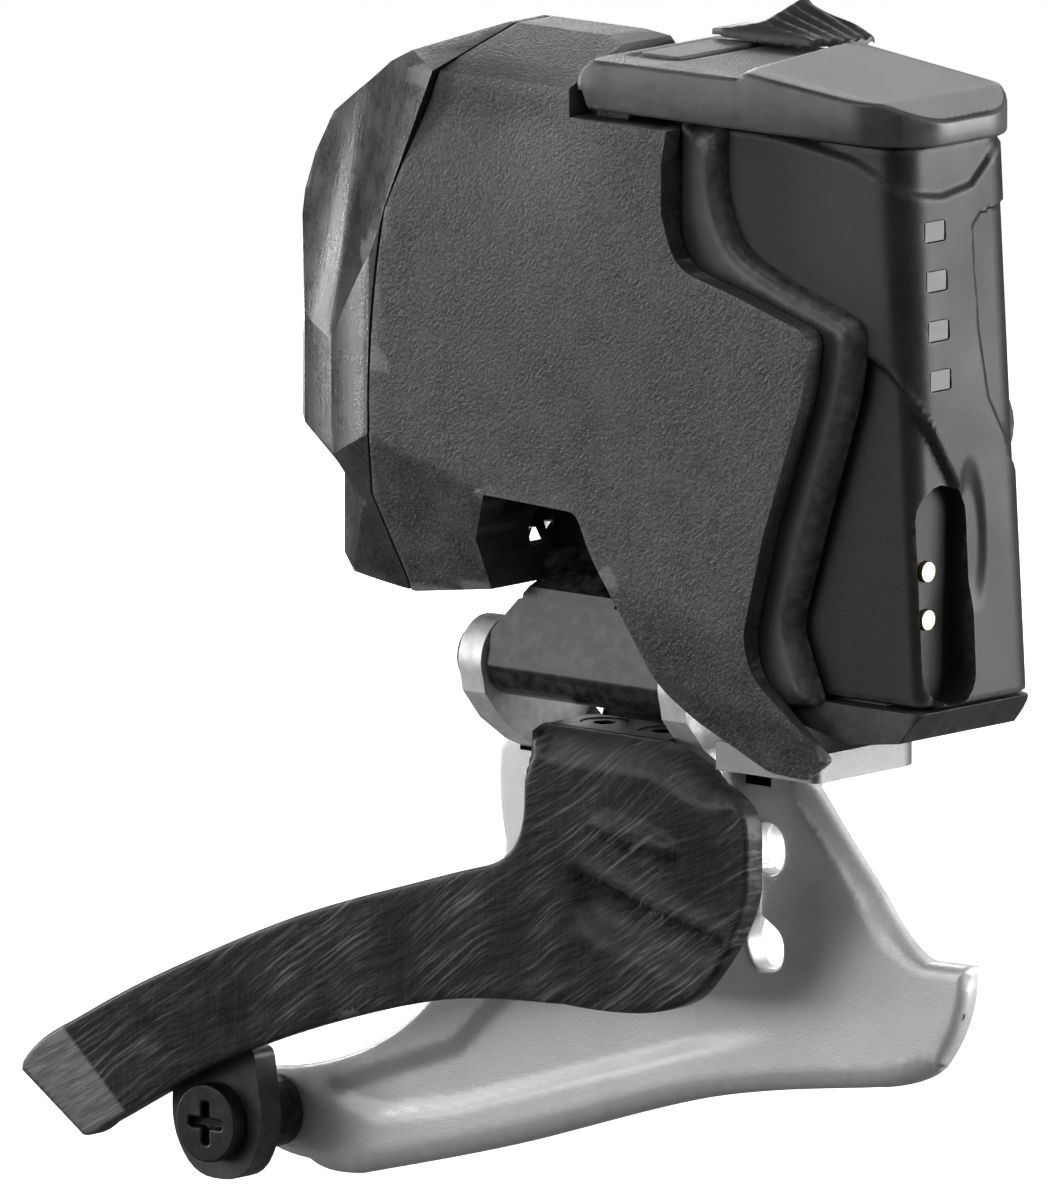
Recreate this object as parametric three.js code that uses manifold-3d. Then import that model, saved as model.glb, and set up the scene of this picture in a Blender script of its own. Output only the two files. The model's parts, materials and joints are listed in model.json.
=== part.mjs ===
// Front derailleur of a bicycle with an electric parallelogram drive and a clip-in battery.
// Units are millimetres: +X to the front of the bicycle, +Y inboard (towards the frame), +Z up.
// The shapes are laid out from the tail tip of the outer cage plate, whose outer face is Y = 0,
// and the finished group is moved so that its origin is the reference point of the mount seat.
import * as THREE from "three";
import { mergeVertices } from "three/addons/utils/BufferGeometryUtils.js";
import Module from "manifold-3d";

const wasm = await Module();
wasm.setup();

// ---- driving dimensions -------------------------------------------------------------------

const GAP = 0.3;                 // clearance between pieces that meet
const WALL = 2;                  // wall of the cover and the rear cap
const FULL_CIRCLE = 2 * Math.PI;

// Linkage: four pivots parallel to X, given as [Y, Z].
const OUTER_UPPER = [12, 44.7];
const OUTER_LOWER = [6, 29.7];
const INNER_UPPER = [24.7, 33];
const INNER_LOWER = [18.7, 18];
const PIN_R = 1.75;
const PIN_FIT = 0.06;            // radial running clearance of a pin in its bore
const OPEN_PIVOT_FIT = 0.1;      // the pivot at which the closed linkage is opened

// Ears of the cage and walls of the chassis, as X ranges.
const REAR_EAR = [52.1, 54.8];
const FRONT_EAR = [76, 79];
const REAR_WALL = [49.5, 52.2];
const FRONT_WALL = [75.3, 77.7];
const UPPER_CLIP = [48.5, 49.3];
const LOWER_CLIP = [51.1, 51.9];

// Body envelope.
const BODY_Y = [-2, 26.5];
const SPINE_Y = 24;              // outboard face of the chassis spine
const LID_SEAT_Z = 81.8;

// Drive train, spur gears with axes along X.
const MODULE = 0.6;
const SECTOR_TEETH = 32;
const SMALL_TEETH = 12;
const LARGE_TEETH = 30;
const MOTOR_TEETH = 10;
const IDLER_AXIS = [OUTER_UPPER[0], OUTER_UPPER[1] + MODULE * (SECTOR_TEETH + SMALL_TEETH) / 2];
const MOTOR_AXIS = [IDLER_AXIS[0], IDLER_AXIS[1] + MODULE * (LARGE_TEETH + MOTOR_TEETH) / 2];
const SECTOR_X = [52.9, 54.9];
const LARGE_X = [56, 58];

// Hanger bolt: axis along X through this point of the seat plane.
const MOUNT = [80.5, 28.5, 52];
const SEAT_POINT = [MOUNT[0], MOUNT[1] + 3.8, MOUNT[2]];   // on the crown, beside the tapped hole
const BOLT_R = 2.4;
const TAB_SPACE = 5;             // room for the hanger tab between seat and washer

// Support screw, [X, Z]: pushes on the frame so that the derailleur can't twist on its hanger.
const SUPPORT = [62, 56];

// Battery and its pocket.
const BATTERY_X = [82.9, 108];
const BATTERY_Y = [1.9, 18];
const BATTERY_Z = [27.2, 82.1];
const BATTERY_CAP_Z = 30.9;      // parting line between shell and end cap
const SLOT_CENTRE = [5.6, 41.3]; // charge slot on the front face, [Y, Z]
const WINDOW_Y = [4.4, 7.4];     // windows of the charge lights

// Latch lid.
const LID_PIVOT = [71.8, 84.6];  // [X, Z]
const LID_Y = [-1.2, 18.2];
const KNUCKLES = [[0.8, 3], [14.2, 16.4]];   // Y ranges, hidden inside the lid
const KEY_X = [72.6, 77.6];
const KEY_Y = [3.2, 14.2];

// Screws that hold the outer plate on the bridge, X at Y 7.
const BRIDGE_SCREWS = [65.5, 72.5];

// Tail screw of the cage, [X, Z].
const TAIL = [22.5, -16.6];

// ---- helpers ------------------------------------------------------------------------------

// Direction of the outline's first axis, second axis and the extrusion for each axis name.
const BASIS = {
  x: [[0, 1, 0], [0, 0, 1], [1, 0, 0]],
  y: [[1, 0, 0], [0, 0, 1], [0, -1, 0]],
  z: [[1, 0, 0], [0, 1, 0], [0, 0, 1]],
};

function toSolid(geometry) {
  geometry.deleteAttribute("normal");
  geometry.deleteAttribute("uv");
  const merged = mergeVertices(geometry, 1e-5);
  const vertProperties = new Float32Array(merged.attributes.position.array);
  const triVerts = new Uint32Array(merged.index.array);
  return new wasm.Manifold(new wasm.Mesh({ numProp: 3, vertProperties, triVerts }));
}

// A solid of constant section: the outline lies across the axis, the range is along it.
function prism(shape, axis, range, curveSegments = 10) {
  const depth = range[1] - range[0];
  const geometry = new THREE.ExtrudeGeometry(shape, { depth, bevelEnabled: false, curveSegments });
  const basis = BASIS[axis].map((v) => new THREE.Vector3(...v));
  geometry.applyMatrix4(new THREE.Matrix4().makeBasis(...basis));
  const start = axis === "y" ? range[1] : range[0];
  geometry.translate(axis === "x" ? start : 0, axis === "y" ? start : 0, axis === "z" ? start : 0);
  return toSolid(geometry);
}

function box(x, y, z) {
  const geometry = new THREE.BoxGeometry(x[1] - x[0], y[1] - y[0], z[1] - z[0]);
  geometry.translate((x[0] + x[1]) / 2, (y[0] + y[1]) / 2, (z[0] + z[1]) / 2);
  return toSolid(geometry);
}

function circle(centre, radius) {
  const shape = new THREE.Shape();
  shape.absarc(centre[0], centre[1], radius, 0, FULL_CIRCLE, false);
  return shape;
}

// A round bar or bore along an axis, centred on the two other coordinates.
function rod(axis, centre, radius, range, curveSegments = 12) {
  return prism(circle(centre, radius), axis, range, curveSegments);
}

// Closed outline through straight edges, each corner rounded by its own radius (third value).
function outline(points, radius = 0) {
  const shape = new THREE.Shape();
  const count = points.length;
  points.forEach((point, i) => {
    const corner = new THREE.Vector2(point[0], point[1]);
    const before = new THREE.Vector2(...points[(i + count - 1) % count].slice(0, 2));
    const after = new THREE.Vector2(...points[(i + 1) % count].slice(0, 2));
    before.sub(corner);
    after.sub(corner);
    const longest = 0.48 * Math.min(before.length(), after.length());
    const reach = Math.min(point[2] ?? radius, longest);
    const inPoint = corner.clone().add(before.setLength(reach));
    const outPoint = corner.clone().add(after.setLength(reach));
    if (i === 0) {
      shape.moveTo(inPoint.x, inPoint.y);
    } else {
      shape.lineTo(inPoint.x, inPoint.y);
    }
    if (reach > 0) {
      shape.quadraticCurveTo(corner.x, corner.y, outPoint.x, outPoint.y);
    }
  });
  shape.closePath();
  return shape;
}

function rectangle(u, v, radius = 0) {
  return outline([[u[0], v[0]], [u[1], v[0]], [u[1], v[1]], [u[0], v[1]]], radius);
}

// A slot with round ends, long in its second coordinate.
function obround(centre, halfWidth, halfLength) {
  const straight = halfLength - halfWidth;
  const shape = new THREE.Shape();
  shape.absarc(centre[0], centre[1] + straight, halfWidth, 0, Math.PI, false);
  shape.absarc(centre[0], centre[1] - straight, halfWidth, Math.PI, FULL_CIRCLE, false);
  shape.closePath();
  return shape;
}

// Moves every edge of a counter-clockwise outline inwards by the same distance.
function inset(points, distance) {
  const count = points.length;
  const edges = points.map((point, i) => {
    const next = points[(i + 1) % count];
    const length = Math.hypot(next[0] - point[0], next[1] - point[1]);
    const along = [(next[0] - point[0]) / length, (next[1] - point[1]) / length];
    const at = [point[0] - along[1] * distance, point[1] + along[0] * distance];
    return { at, along };
  });
  return edges.map((edge, i) => {
    const last = edges[(i + count - 1) % count];
    const cross = last.along[0] * edge.along[1] - last.along[1] * edge.along[0];
    const dx = edge.at[0] - last.at[0];
    const dz = edge.at[1] - last.at[1];
    const t = (dx * edge.along[1] - dz * edge.along[0]) / cross;
    return [last.at[0] + last.along[0] * t, last.at[1] + last.along[1] * t];
  });
}

// Keeps the side of the plane through three points that the outward normal leaves.
function trim(solid, a, b, c, depth) {
  const origin = new THREE.Vector3(...a);
  const first = new THREE.Vector3(...b).sub(origin);
  const normal = new THREE.Vector3(...c).sub(origin).cross(first).normalize();
  return solid.trimByPlane([normal.x, normal.y, normal.z], normal.dot(origin) + depth);
}

// A screw along an axis: the head starts at the end named first, the shank runs to the second.
function socketScrew(axis, centre, headRange, headRadius, shankRange, shankRadius, socketRange) {
  const head = rod(axis, centre, headRadius, headRange);
  const shank = rod(axis, centre, shankRadius, shankRange);
  const corners = [];
  for (let i = 0; i < 6; i += 1) {
    const angle = FULL_CIRCLE * i / 6;
    const reach = headRadius * 0.55;
    corners.push([centre[0] + reach * Math.cos(angle), centre[1] + reach * Math.sin(angle)]);
  }
  return head.add(shank).subtract(prism(outline(corners), axis, socketRange));
}

// A spring clip round a pin: a ring with one opening.
function clip(centre, range) {
  const ring = rod("x", centre, PIN_R + 1.1, range);
  const opening = box([range[0] - 1, range[1] + 1], [centre[0] - 0.6, centre[0] + 0.6],
    [centre[1], centre[1] + 4]);
  return ring.subtract(rod("x", centre, PIN_R + 0.04, [range[0] - 1, range[1] + 1])).subtract(opening);
}

// Outline of a spur gear, or of the part of one between two angles.
function gearOutline(centre, teeth, phase, from = 0, to = FULL_CIRCLE, hubRadius = 0) {
  const pitchRadius = MODULE * teeth / 2;
  const tip = pitchRadius + 0.8 * MODULE;
  const root = pitchRadius - 1.15 * MODULE;
  const pitch = FULL_CIRCLE / teeth;
  const points = [];
  const put = (radius, angle) => {
    points.push([centre[0] + radius * Math.cos(angle), centre[1] + radius * Math.sin(angle)]);
  };
  for (let i = 0; i < teeth; i += 1) {
    const middle = phase + i * pitch;
    if (middle > from && middle < to) {
      put(root, middle - 0.27 * pitch);
      put(tip, middle - 0.11 * pitch);
      put(tip, middle + 0.11 * pitch);
      put(root, middle + 0.27 * pitch);
    }
  }
  if (hubRadius > 0) {
    put(hubRadius, to + 0.6);
    put(hubRadius, (from + to) / 2 + Math.PI);
    put(hubRadius, from - 0.6);
  }
  return outline(points);
}

// ---- body envelope ------------------------------------------------------------------------

const BODY_SIDE = [
  [57.2, 36.9], [56.4, 41.6], [58.8, 46.4], [80, 46.2], [80, LID_SEAT_Z], [68.8, LID_SEAT_Z],
  [68.8, 87.6], [66, 88], [54, 88], [43.6, 83.8], [33.2, 77.6], [30.6, 73.5], [28, 64.6],
  [28.3, 50.2], [31.4, 45.5], [33.4, 40.6], [38.8, 36.2], [47, 35.4],
];
const BODY_PLAN = [
  [83, -2], [83, 26.5], [46, 26.5], [37, 24.8], [30.5, 20.5], [28.4, 15], [28.4, 10.4],
  [29.8, 6.2], [33.4, 2.4], [38.4, -0.6], [45, -2],
];

// Outside of the rear cap's narrower foot, in plan, and three points of the slope above it.
const FOOT_PLAN = [
  [48, -2.3], [41.6, 0.6], [37, 3.6], [34.2, 7.4], [33, 12], [33.6, 18], [37, 22.6], [44, 26.8],
  [20, 32], [20, -12], [48, -12],
];
const FOOT_SLOPE = [[29.8, 6, 49.6], [33.5, 2.2, 49.6], [32.1, 8.3, 45.5]];

// Full envelope of cover, spine and rear cap, moved inwards by a distance.
function bodyHull(depth) {
  const side = prism(outline(inset(BODY_SIDE, depth)), "y", [BODY_Y[0] + depth, BODY_Y[1] - depth]);
  const plan = prism(outline(inset(BODY_PLAN, depth)), "z", [30, 95]);
  let foot = prism(outline(inset(FOOT_PLAN, -depth)), "z", [25, 49.6]);
  foot = trim(foot, ...FOOT_SLOPE, -depth);
  let hull = side.intersect(plan).subtract(foot);
  hull = trim(hull, [52.8, -2, 84.3], [67, -2, 84.4], [60, 7, 88], depth);
  hull = trim(hull, [46.9, -2, 71], [52.8, -2, 84.3], [31, 7, 74], depth);
  hull = trim(hull, [0, 12, 88], [0, 26.5, 72], [-9, 26.5, 72], depth);
  hull = trim(hull, [58.4, -2, 46.7], [44, -2, 50.5], [50, 1.5, 37], depth);
  return trim(hull, [0, 26.5, 46], [0, 17, 35], [-9, 17, 35], depth);
}

// Everything to the front of the seam between cover and rear cap.
function seamFront(shift) {
  const shape = new THREE.Shape();
  shape.moveTo(120, 20);
  shape.lineTo(120, 95);
  shape.lineTo(59.2 + shift, 95);
  shape.lineTo(52.8 + shift, 84.3);
  shape.lineTo(46.9 + shift, 71);
  shape.quadraticCurveTo(44.8 + shift, 60, 45.1 + shift, 50.5);
  shape.lineTo(43.9 + shift, 44.4);
  shape.lineTo(46.4 + shift, 36.4);
  shape.lineTo(46.4 + shift, 20);
  shape.closePath();
  return prism(shape, "y", [-10, 40], 8);
}

const coverScrews = { rear: [51.6, 67.5], front: [66.5, 53] };

// ---- root body ----------------------------------------------------------------------------

// Side skin with the leg that runs down in front of the links.
function coverSkin() {
  const shape = outline([
    [60, 48], [57.5, 46.2, 0], [69.8, 45.7, 1], [71.6, 41.8, 2], [73.8, 38.8, 2], [78.8, 30.4, 2],
    [82.7, 27.8, 2], [91.1, 24, 1], [95.7, 23.8, 0.6], [98.7, 26, 0.6], [90.3, 32.9, 2], [89.7, 36.5, 1.5], [92.1, 46, 1],
    [96.9, 59.5, 2], [97.6, 65, 1.6], [88.5, 67.7, 1], [81.6, 69.4, 2.5], [79.4, 75.9, 2],
    [80.6, LID_SEAT_Z, 0], [75, LID_SEAT_Z], [66, 79],
  ]);
  const skin = prism(shape, "y", [BODY_Y[0], 0], 5);
  // The leg's lower end leans inwards.
  return trim(skin, [98, -2, 28], [82, -2, 31], [94, 0, 22], 0);
}

function mainCover() {
  let cover = bodyHull(0).subtract(bodyHull(WALL)).intersect(seamFront(0));
  cover = cover.intersect(box([40, 100], [BODY_Y[0], SPINE_Y - GAP], [20, 95])).add(coverSkin());
  // Opening under the body for the outer link and the chassis lugs.
  cover = cover.subtract(box([57.4, 78.1], [2, 25], [40, 50]));
  cover = cover.subtract(box([42, REAR_WALL[1] + 0.5], [16.5, 25], [30, 50]));
  cover = cover.subtract(box([54, 57.6], [7, 17.2], [40, 49.5]));
  for (const at of Object.values(coverScrews)) {
    cover = cover.add(rod("y", at, 2.2, [-1, SPINE_Y - GAP]));
    cover = cover.subtract(rod("y", at, 1.1, [SPINE_Y - 9, SPINE_Y + 1]));
  }
  // Two knuckles carry the lid's hinge pin.
  for (const range of KNUCKLES) {
    cover = cover.add(lidKnuckle(range));
  }
  return cover.subtract(rod("y", LID_PIVOT, 0.95, [-3, 20]));
}

function lidKnuckle(range) {
  const [x, z] = LID_PIVOT;
  const shape = new THREE.Shape();
  shape.moveTo(x + 1.9, LID_SEAT_Z - 1);
  shape.lineTo(x + 1.9, z);
  shape.absarc(x, z, 1.9, 0, Math.PI, false);
  shape.lineTo(x - 1.9, LID_SEAT_Z - 1);
  shape.closePath();
  return prism(shape, "y", range, 8);
}

function rearCap() {
  const rear = bodyHull(0).subtract(bodyHull(WALL)).subtract(seamFront(-GAP));
  return rear;
}

// Elastic ring that closes the seam from inside.
function rearCapSeal() {
  const ring = bodyHull(WALL + 0.1).subtract(bodyHull(WALL + 1));
  const strip = ring.intersect(seamFront(-1.6)).subtract(seamFront(1.2));
  return strip.intersect(box([20, 100], [-2, SPINE_Y - 0.1], [20, 100]));
}

// A lug round a pivot with a neck that rises to the given corners.
function lug(centre, radius, neck, range) {
  return rod("x", centre, radius, range, 14).add(prism(outline(neck), "x", range));
}

function chassisWall(range) {
  const upper = lug(OUTER_UPPER, 4.2, [[7.8, 44.7], [16.2, 44.7], [20, 50], [4, 50]], range);
  const lower = lug(INNER_UPPER, 3.9, [[20.8, 33], [28.6, 33], [26.5, 47], [18, 47]], range);
  return upper.add(lower).add(prism(rectangle([2.5, 24.5], [48.6, 58]), "x", range));
}

function chassis() {
  const spine = bodyHull(0).intersect(box([40, 80], [SPINE_Y, 30], [30, 95])).intersect(seamFront(0));
  const inside = bodyHull(WALL + GAP);
  const hung = box([40, 80], [16.8, 30], [28, 47]);
  let rearWall = chassisWall(REAR_WALL);
  rearWall = rearWall.add(rod("x", IDLER_AXIS, 3.2, REAR_WALL));
  rearWall = rearWall.intersect(inside.add(hung).add(spine));
  let frame = spine.add(rearWall).add(chassisWall(FRONT_WALL));
  // Arm and foot under the battery.
  frame = frame.add(box([77, 87], [20, 25], [38, 46]));
  frame = frame.add(box([79.6, 87], [20, 24], [23.5, 40]));
  frame = frame.add(prism(outline([[84, 1], [96, 1, 1], [96, 15, 2], [87.5, 19, 2], [87, 24], [84, 24]]),
    "z", [23.4, 26], 5));
  // Hanger seat: a boss with a flat crown and a tapped hole.
  frame = frame.add(prism(outline([[70, 45], [78.3, 44.4], [79.9, 46.4], [MOUNT[0], 49.2],
    [MOUNT[0], 54.8], [79.9, 57.6], [78.3, 59.6], [70, 59]]), "y", [SPINE_Y, 33.5]));
  frame = frame.subtract(rod("x", [MOUNT[1], MOUNT[2]], BOLT_R + 0.1, [69, 90], 16));
  // Bores for the two upper pins, the idler shaft, the screws and the support screw.
  frame = frame.subtract(rod("x", OUTER_UPPER, PIN_R + 0.03, [40, 82], 16));
  frame = frame.subtract(rod("x", INNER_UPPER, PIN_R + 0.03, [40, 79.5], 16));
  frame = frame.subtract(rod("x", IDLER_AXIS, 1.25, [40, 60]));
  for (const at of Object.values(coverScrews)) {
    frame = frame.subtract(rod("y", at, 1.3, [SPINE_Y - 1, 30]));
  }
  return frame.subtract(rod("y", SUPPORT, 1.6, [20, 40]));
}

function batteryFrame() {
  const outer = outline([
    [80.4, 82.2], [80.4, 36], [84, 31.5, 1], [88, 29.5, 1], [96.3, 30.5, 1], [94.8, 34, 1.5],
    [93.4, 37.5, 1.5], [96, 46, 1], [100.6, 60, 2], [101.2, 66, 2], [92, 69, 1], [86.4, 71.5, 2.5],
    [84.6, 76, 2], [84.6, 82.2],
  ]);
  const inner = outline([[80.4, 82.2], [80.4, 36], [84, 33], [94, 33, 2], [96, 50, 4], [84.6, 82.2]]);
  let frame = prism(outer, "y", [GAP, 1.6], 5).add(prism(inner, "y", [18.3, 19.6], 5));
  frame = frame.add(box([80.4, 82.5], [GAP, 19.6], [36, 82.2]));
  return frame.subtract(box([80, 83], [5.7, 14.3], [47.7, 56.3]));
}

// Connector in the pocket's back wall.
function contactBlock() {
  let block = box([80.4, 82.5], [6, 14], [48, 56]);
  for (const z of [50, 54]) {
    block = block.subtract(rod("x", [10, z], 1.1, [79, 84]));
  }
  return block;
}

function springContact(z) {
  return rod("x", [10, z], 1, [80.5, 82.4]).add(rod("x", [10, z], 0.6, [82.3, 82.75]));
}

function circuitBoard() {
  const board = box([61, 75], [20.4, 22], [60.5, 71]);
  const chips = box([63, 68], [19.4, 20.5], [62, 67]).add(box([70, 73], [19.6, 20.5], [63, 69]));
  return board.add(chips);
}

function gearboxPlate() {
  const plate = prism(rectangle([3, 19.5], [50.5, 75.6], 3), "x", [58.6, 60], 5);
  const shaft = rod("x", IDLER_AXIS, 1.25, [58, 61]);
  return plate.subtract(shaft).subtract(rod("x", MOTOR_AXIS, 1.6, [58, 61]));
}

function motorCan() {
  const can = rod("x", MOTOR_AXIS, 6, [60.2, 75], 16).add(rod("x", MOTOR_AXIS, 2.6, [74, 76.4]));
  const flat = box([60, 76], [MOTOR_AXIS[0] - 7, MOTOR_AXIS[0] - 5.2], [60, 80]);
  return can.subtract(flat).subtract(rod("x", MOTOR_AXIS, 1.2, [60, 65]));
}

function idlerShaft() {
  return rod("x", IDLER_AXIS, 1.15, [REAR_WALL[0], 59.9]);
}

function upperPin(centre, front) {
  return rod("x", centre, PIN_R, [47.9, front], 14);
}

function mountBolt() {
  const head = MOUNT[0] + TAB_SPACE + 2.3;
  return socketScrew("x", [MOUNT[1], MOUNT[2]], [head, head + 4.6], 4.2, [71.5, head + 1], BOLT_R,
    [head + 1.8, head + 6]);
}

// Washer with a hollow face that sits on the hanger tab.
function mountWasher() {
  const start = MOUNT[0] + TAB_SPACE;
  const ring = rod("x", [MOUNT[1], MOUNT[2]], 5, [start, start + 2.2], 14);
  const hollow = rod("y", [start - 14.4, MOUNT[2]], 15, [15, 40], 40);
  return ring.subtract(hollow).subtract(rod("x", [MOUNT[1], MOUNT[2]], 2.55, [start - 1, start + 5]));
}

function supportScrew() {
  const screw = rod("y", SUPPORT, 1.5, [22.5, 30.5]).add(rod("y", SUPPORT, 1, [30, 31.5]));
  const [x, z] = SUPPORT;
  const socket = outline([[x - 0.7, z - 0.4], [x, z - 0.8], [x + 0.7, z - 0.4], [x + 0.7, z + 0.4],
    [x, z + 0.8], [x - 0.7, z + 0.4]]);
  return screw.subtract(prism(socket, "y", [22, 24.5]));
}

function coverScrew(at) {
  return socketScrew("y", at, [BODY_Y[1] + 0.05, BODY_Y[1] + 1.8], 2.1, [16.5, BODY_Y[1] + 1], 1,
    [BODY_Y[1] + 0.7, BODY_Y[1] + 3]);
}

function lidPin() {
  return rod("y", LID_PIVOT, 0.88, [-0.4, LID_Y[1] - 0.1]);
}

// ---- battery ------------------------------------------------------------------------------

function batteryEnvelope(depth) {
  const [x0, x1] = BATTERY_X;
  const side = [
    [x0, 36], [x0 + 3, 30.2], [x1 - 9, BATTERY_Z[0]], [x1 - 3, BATTERY_Z[0] + 0.8],
    [x1, 31.5], [x1 - 2.6, BATTERY_Z[1]], [x0, BATTERY_Z[1]],
  ];
  const plan = outline([
    [x0 + depth, BATTERY_Y[0] + depth, 1], [x1 - depth, BATTERY_Y[0] + depth, 2.2],
    [x1 - depth, BATTERY_Y[1] - depth, 3], [x0 + depth, BATTERY_Y[1] - depth, 1],
  ]);
  const tall = prism(plan, "z", [20, 90], 5);
  return tall.intersect(prism(outline(depth ? inset(side, depth) : side), "y", [-5, 25]));
}

function batteryShell() {
  const above = box([70, 120], [-5, 30], [BATTERY_CAP_Z + GAP, 90]);
  const hollow = batteryEnvelope(1.6).intersect(box([70, 102.4], [-5, 30], [20, 90]));
  let shell = batteryEnvelope(0).intersect(above).subtract(hollow);
  shell = shell.subtract(prism(obround(SLOT_CENTRE, 3.3, 10), "x", [104.8, 110], 8));
  for (const z of [43.3, 38.9]) {
    shell = shell.subtract(rod("x", [SLOT_CENTRE[0], z], 1, [103.8, 106]));
  }
  for (const z of ledHeights()) {
    shell = shell.subtract(box([101.4, 110], WINDOW_Y, [z - 1.1, z + 1.1]));
  }
  return shell.subtract(box([80, 85], [7.4, 12.6], [47.4, 56.6]));
}

function ledHeights() {
  return [0, 1, 2, 3].map((i) => 60.9 + 4.5 * i);
}

function batteryEndCap() {
  const below = box([70, 120], [-5, 30], [20, BATTERY_CAP_Z]);
  const rim = batteryEnvelope(1.75).intersect(box([70, 102.1], [-5, 30], [BATTERY_CAP_Z - 0.5, 33.2]));
  const core = batteryEnvelope(3).intersect(box([70, 101], [-5, 30], [29.4, 35]));
  return batteryEnvelope(0).intersect(below).add(rim).subtract(core);
}

function batteryCell() {
  return prism(rectangle([86, 100.2], [6, 15.8], 2), "z", [34.5, 79], 5);
}

function batteryBoard() {
  return box([85.6, 100.2], [4, 5.2], [34.5, 79]).add(box([88, 96], [5.1, 5.7], [38, 46]));
}

function chargeContact(z) {
  return rod("x", [SLOT_CENTRE[0], z], 0.9, [103.9, 105.3]);
}

// Clear bar inside the shell with a window for each light.
function lightGuide() {
  let guide = box([100.8, 102.3], [4.6, 7.2], [59.2, 76.2]);
  for (const z of ledHeights()) {
    const front = BATTERY_X[1] - 0.1 - 2.6 * (z - 31.5) / (BATTERY_Z[1] - 31.5);
    guide = guide.add(box([101.4, front], [WINDOW_Y[0] + 0.2, WINDOW_Y[1] - 0.2], [z - 0.9, z + 0.9]));
  }
  return guide;
}

function batteryContactPlate() {
  return box([83.1, 84.1], [7.6, 12.4], [47.6, 56.4]);
}

// ---- lid ----------------------------------------------------------------------------------

function latchLid() {
  const [x, z] = LID_PIVOT;
  const side = new THREE.Shape();
  side.moveTo(75, 82.6);
  side.lineTo(106.4, 82.6);
  side.lineTo(107.8, 83.4);
  side.lineTo(107.6, 85.4);
  side.lineTo(105.4, 86.8);
  side.lineTo(88, 88);
  side.absarc(x, z, 2.9, Math.PI / 2, Math.PI * 0.9, false);
  side.absarc(x, z, 2.5, Math.PI, Math.PI * 1.5, false);
  side.closePath();
  const plan = outline([
    [68, LID_Y[0] + 0.2], [86, LID_Y[0]], [103.5, LID_Y[0] + 0.4, 3], [108, 3.4, 2.5], [108, 13.4, 2.4],
    [104.5, 17.2, 2.4], [86, LID_Y[1]], [68, LID_Y[1] - 0.3],
  ]);
  let lid = prism(side, "y", [-3, 20], 8).intersect(prism(plan, "z", [80, 95], 5));
  // Hollow underside and clearance for the two knuckles.
  lid = lid.subtract(box([76, 104], [1.2, 16], [80, 84.6]));
  for (const [low, high] of KNUCKLES) {
    const range = [low - GAP, high + GAP];
    const post = outline([[60, 80], [x + 2.3, 80], [x + 2.3, z + 0.15], [x, z + 0.15],
      [x - 1, z + 1.95], [x - 3.7, z + 0.45], [60, z + 0.45]]);
    lid = lid.subtract(prism(post, "y", range));
    lid = lid.subtract(rod("y", LID_PIVOT, 2.15, range, 16));
  }
  lid = lid.subtract(box(KEY_X, KEY_Y, [86, 90]));
  lid = lid.subtract(box([75, 80], [14.9, 17.1], [80, 90]));
  return lid.subtract(rod("y", LID_PIVOT, 0.95, [-0.5, 20]));
}

function modeKey() {
  const inside = GAP / 2;
  const shape = rectangle([KEY_X[0] + inside, KEY_X[1] - inside], [KEY_Y[0] + inside, KEY_Y[1] - inside], 0.7);
  return prism(shape, "z", [86.65, 87.6], 4);
}

// Ribbed push tab; its foot passes through a slot of the lid and slides to free the catch.
function thumbTab() {
  const side = outline([[73, 88.1], [73.1, 88.9, 0.5], [79.6, 91.6, 1], [87.2, 88.8, 0.5], [87, 88.2]]);
  let tab = prism(side, "y", [13.6, 20.2], 5);
  for (let i = 0; i < 4; i += 1) {
    const x = 80.8 + 1.5 * i;
    tab = tab.subtract(rod("y", [x, 92 - 0.42 * (i + 1)], 0.7, [10, 25], 6));
  }
  return tab.add(box([76.8, 79.7], [15.2, 16.8], [85.2, 89]));
}

// ---- links --------------------------------------------------------------------------------

function outerLink() {
  const [uy, uz] = OUTER_UPPER;
  const [ly, lz] = OUTER_LOWER;
  const section = new THREE.Shape();
  section.moveTo(uy - 3.8, uz);
  section.lineTo(uy - 3.6, 40.6);
  section.lineTo(4.3, 36.9);
  section.lineTo(ly - 3.3, lz);
  section.absarc(ly, lz, 3.3, Math.PI, FULL_CIRCLE + 0.3, false);
  section.lineTo(14.9, 41.2);
  section.lineTo(uy + 3.8, uz);
  section.absarc(uy, uz, 3.8, 0, Math.PI, false);
  let link = prism(section, "x", [REAR_EAR[1] + GAP, FRONT_EAR[0] - GAP], 10);
  // The upper part is narrow, so that it passes between the cover's rear lobe and its leg.
  const above = outline([[-2, 35.7], [7.5, 35.7], [14, 33], [30, 33], [30, 60], [-2, 60]]);
  link = link.subtract(prism(above, "x", [50, 58.2])).subtract(box([69.2, 80], [-2, 30], [36, 60]));
  const shoulder = outline([[50, 32.6], [55.1, 32.6], [59.2, 37.4], [58.2, 41], [58.2, 44], [50, 44]]);
  link = link.subtract(prism(shoulder, "y", [-2, 30]));
  link = link.add(rod("x", OUTER_UPPER, 3.8, [58.3, 75], 12));
  link = link.subtract(rod("x", OUTER_UPPER, PIN_R + PIN_FIT, [40, 90], 20));
  return link.subtract(rod("x", OUTER_LOWER, PIN_R + PIN_FIT, [40, 90], 20));
}

function sectorGear() {
  const from = 0.72;
  const to = 1.98;
  const shape = gearOutline(OUTER_UPPER, SECTOR_TEETH, Math.PI / 2 - 8 * FULL_CIRCLE / SECTOR_TEETH,
    from, to, 3.9);
  const hub = rod("x", OUTER_UPPER, 3.2, [SECTOR_X[0], 58.1]);
  const bore = rod("x", OUTER_UPPER, PIN_R + PIN_FIT, [50, 60], 20);
  return prism(shape, "x", SECTOR_X).add(hub).subtract(bore);
}

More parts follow.
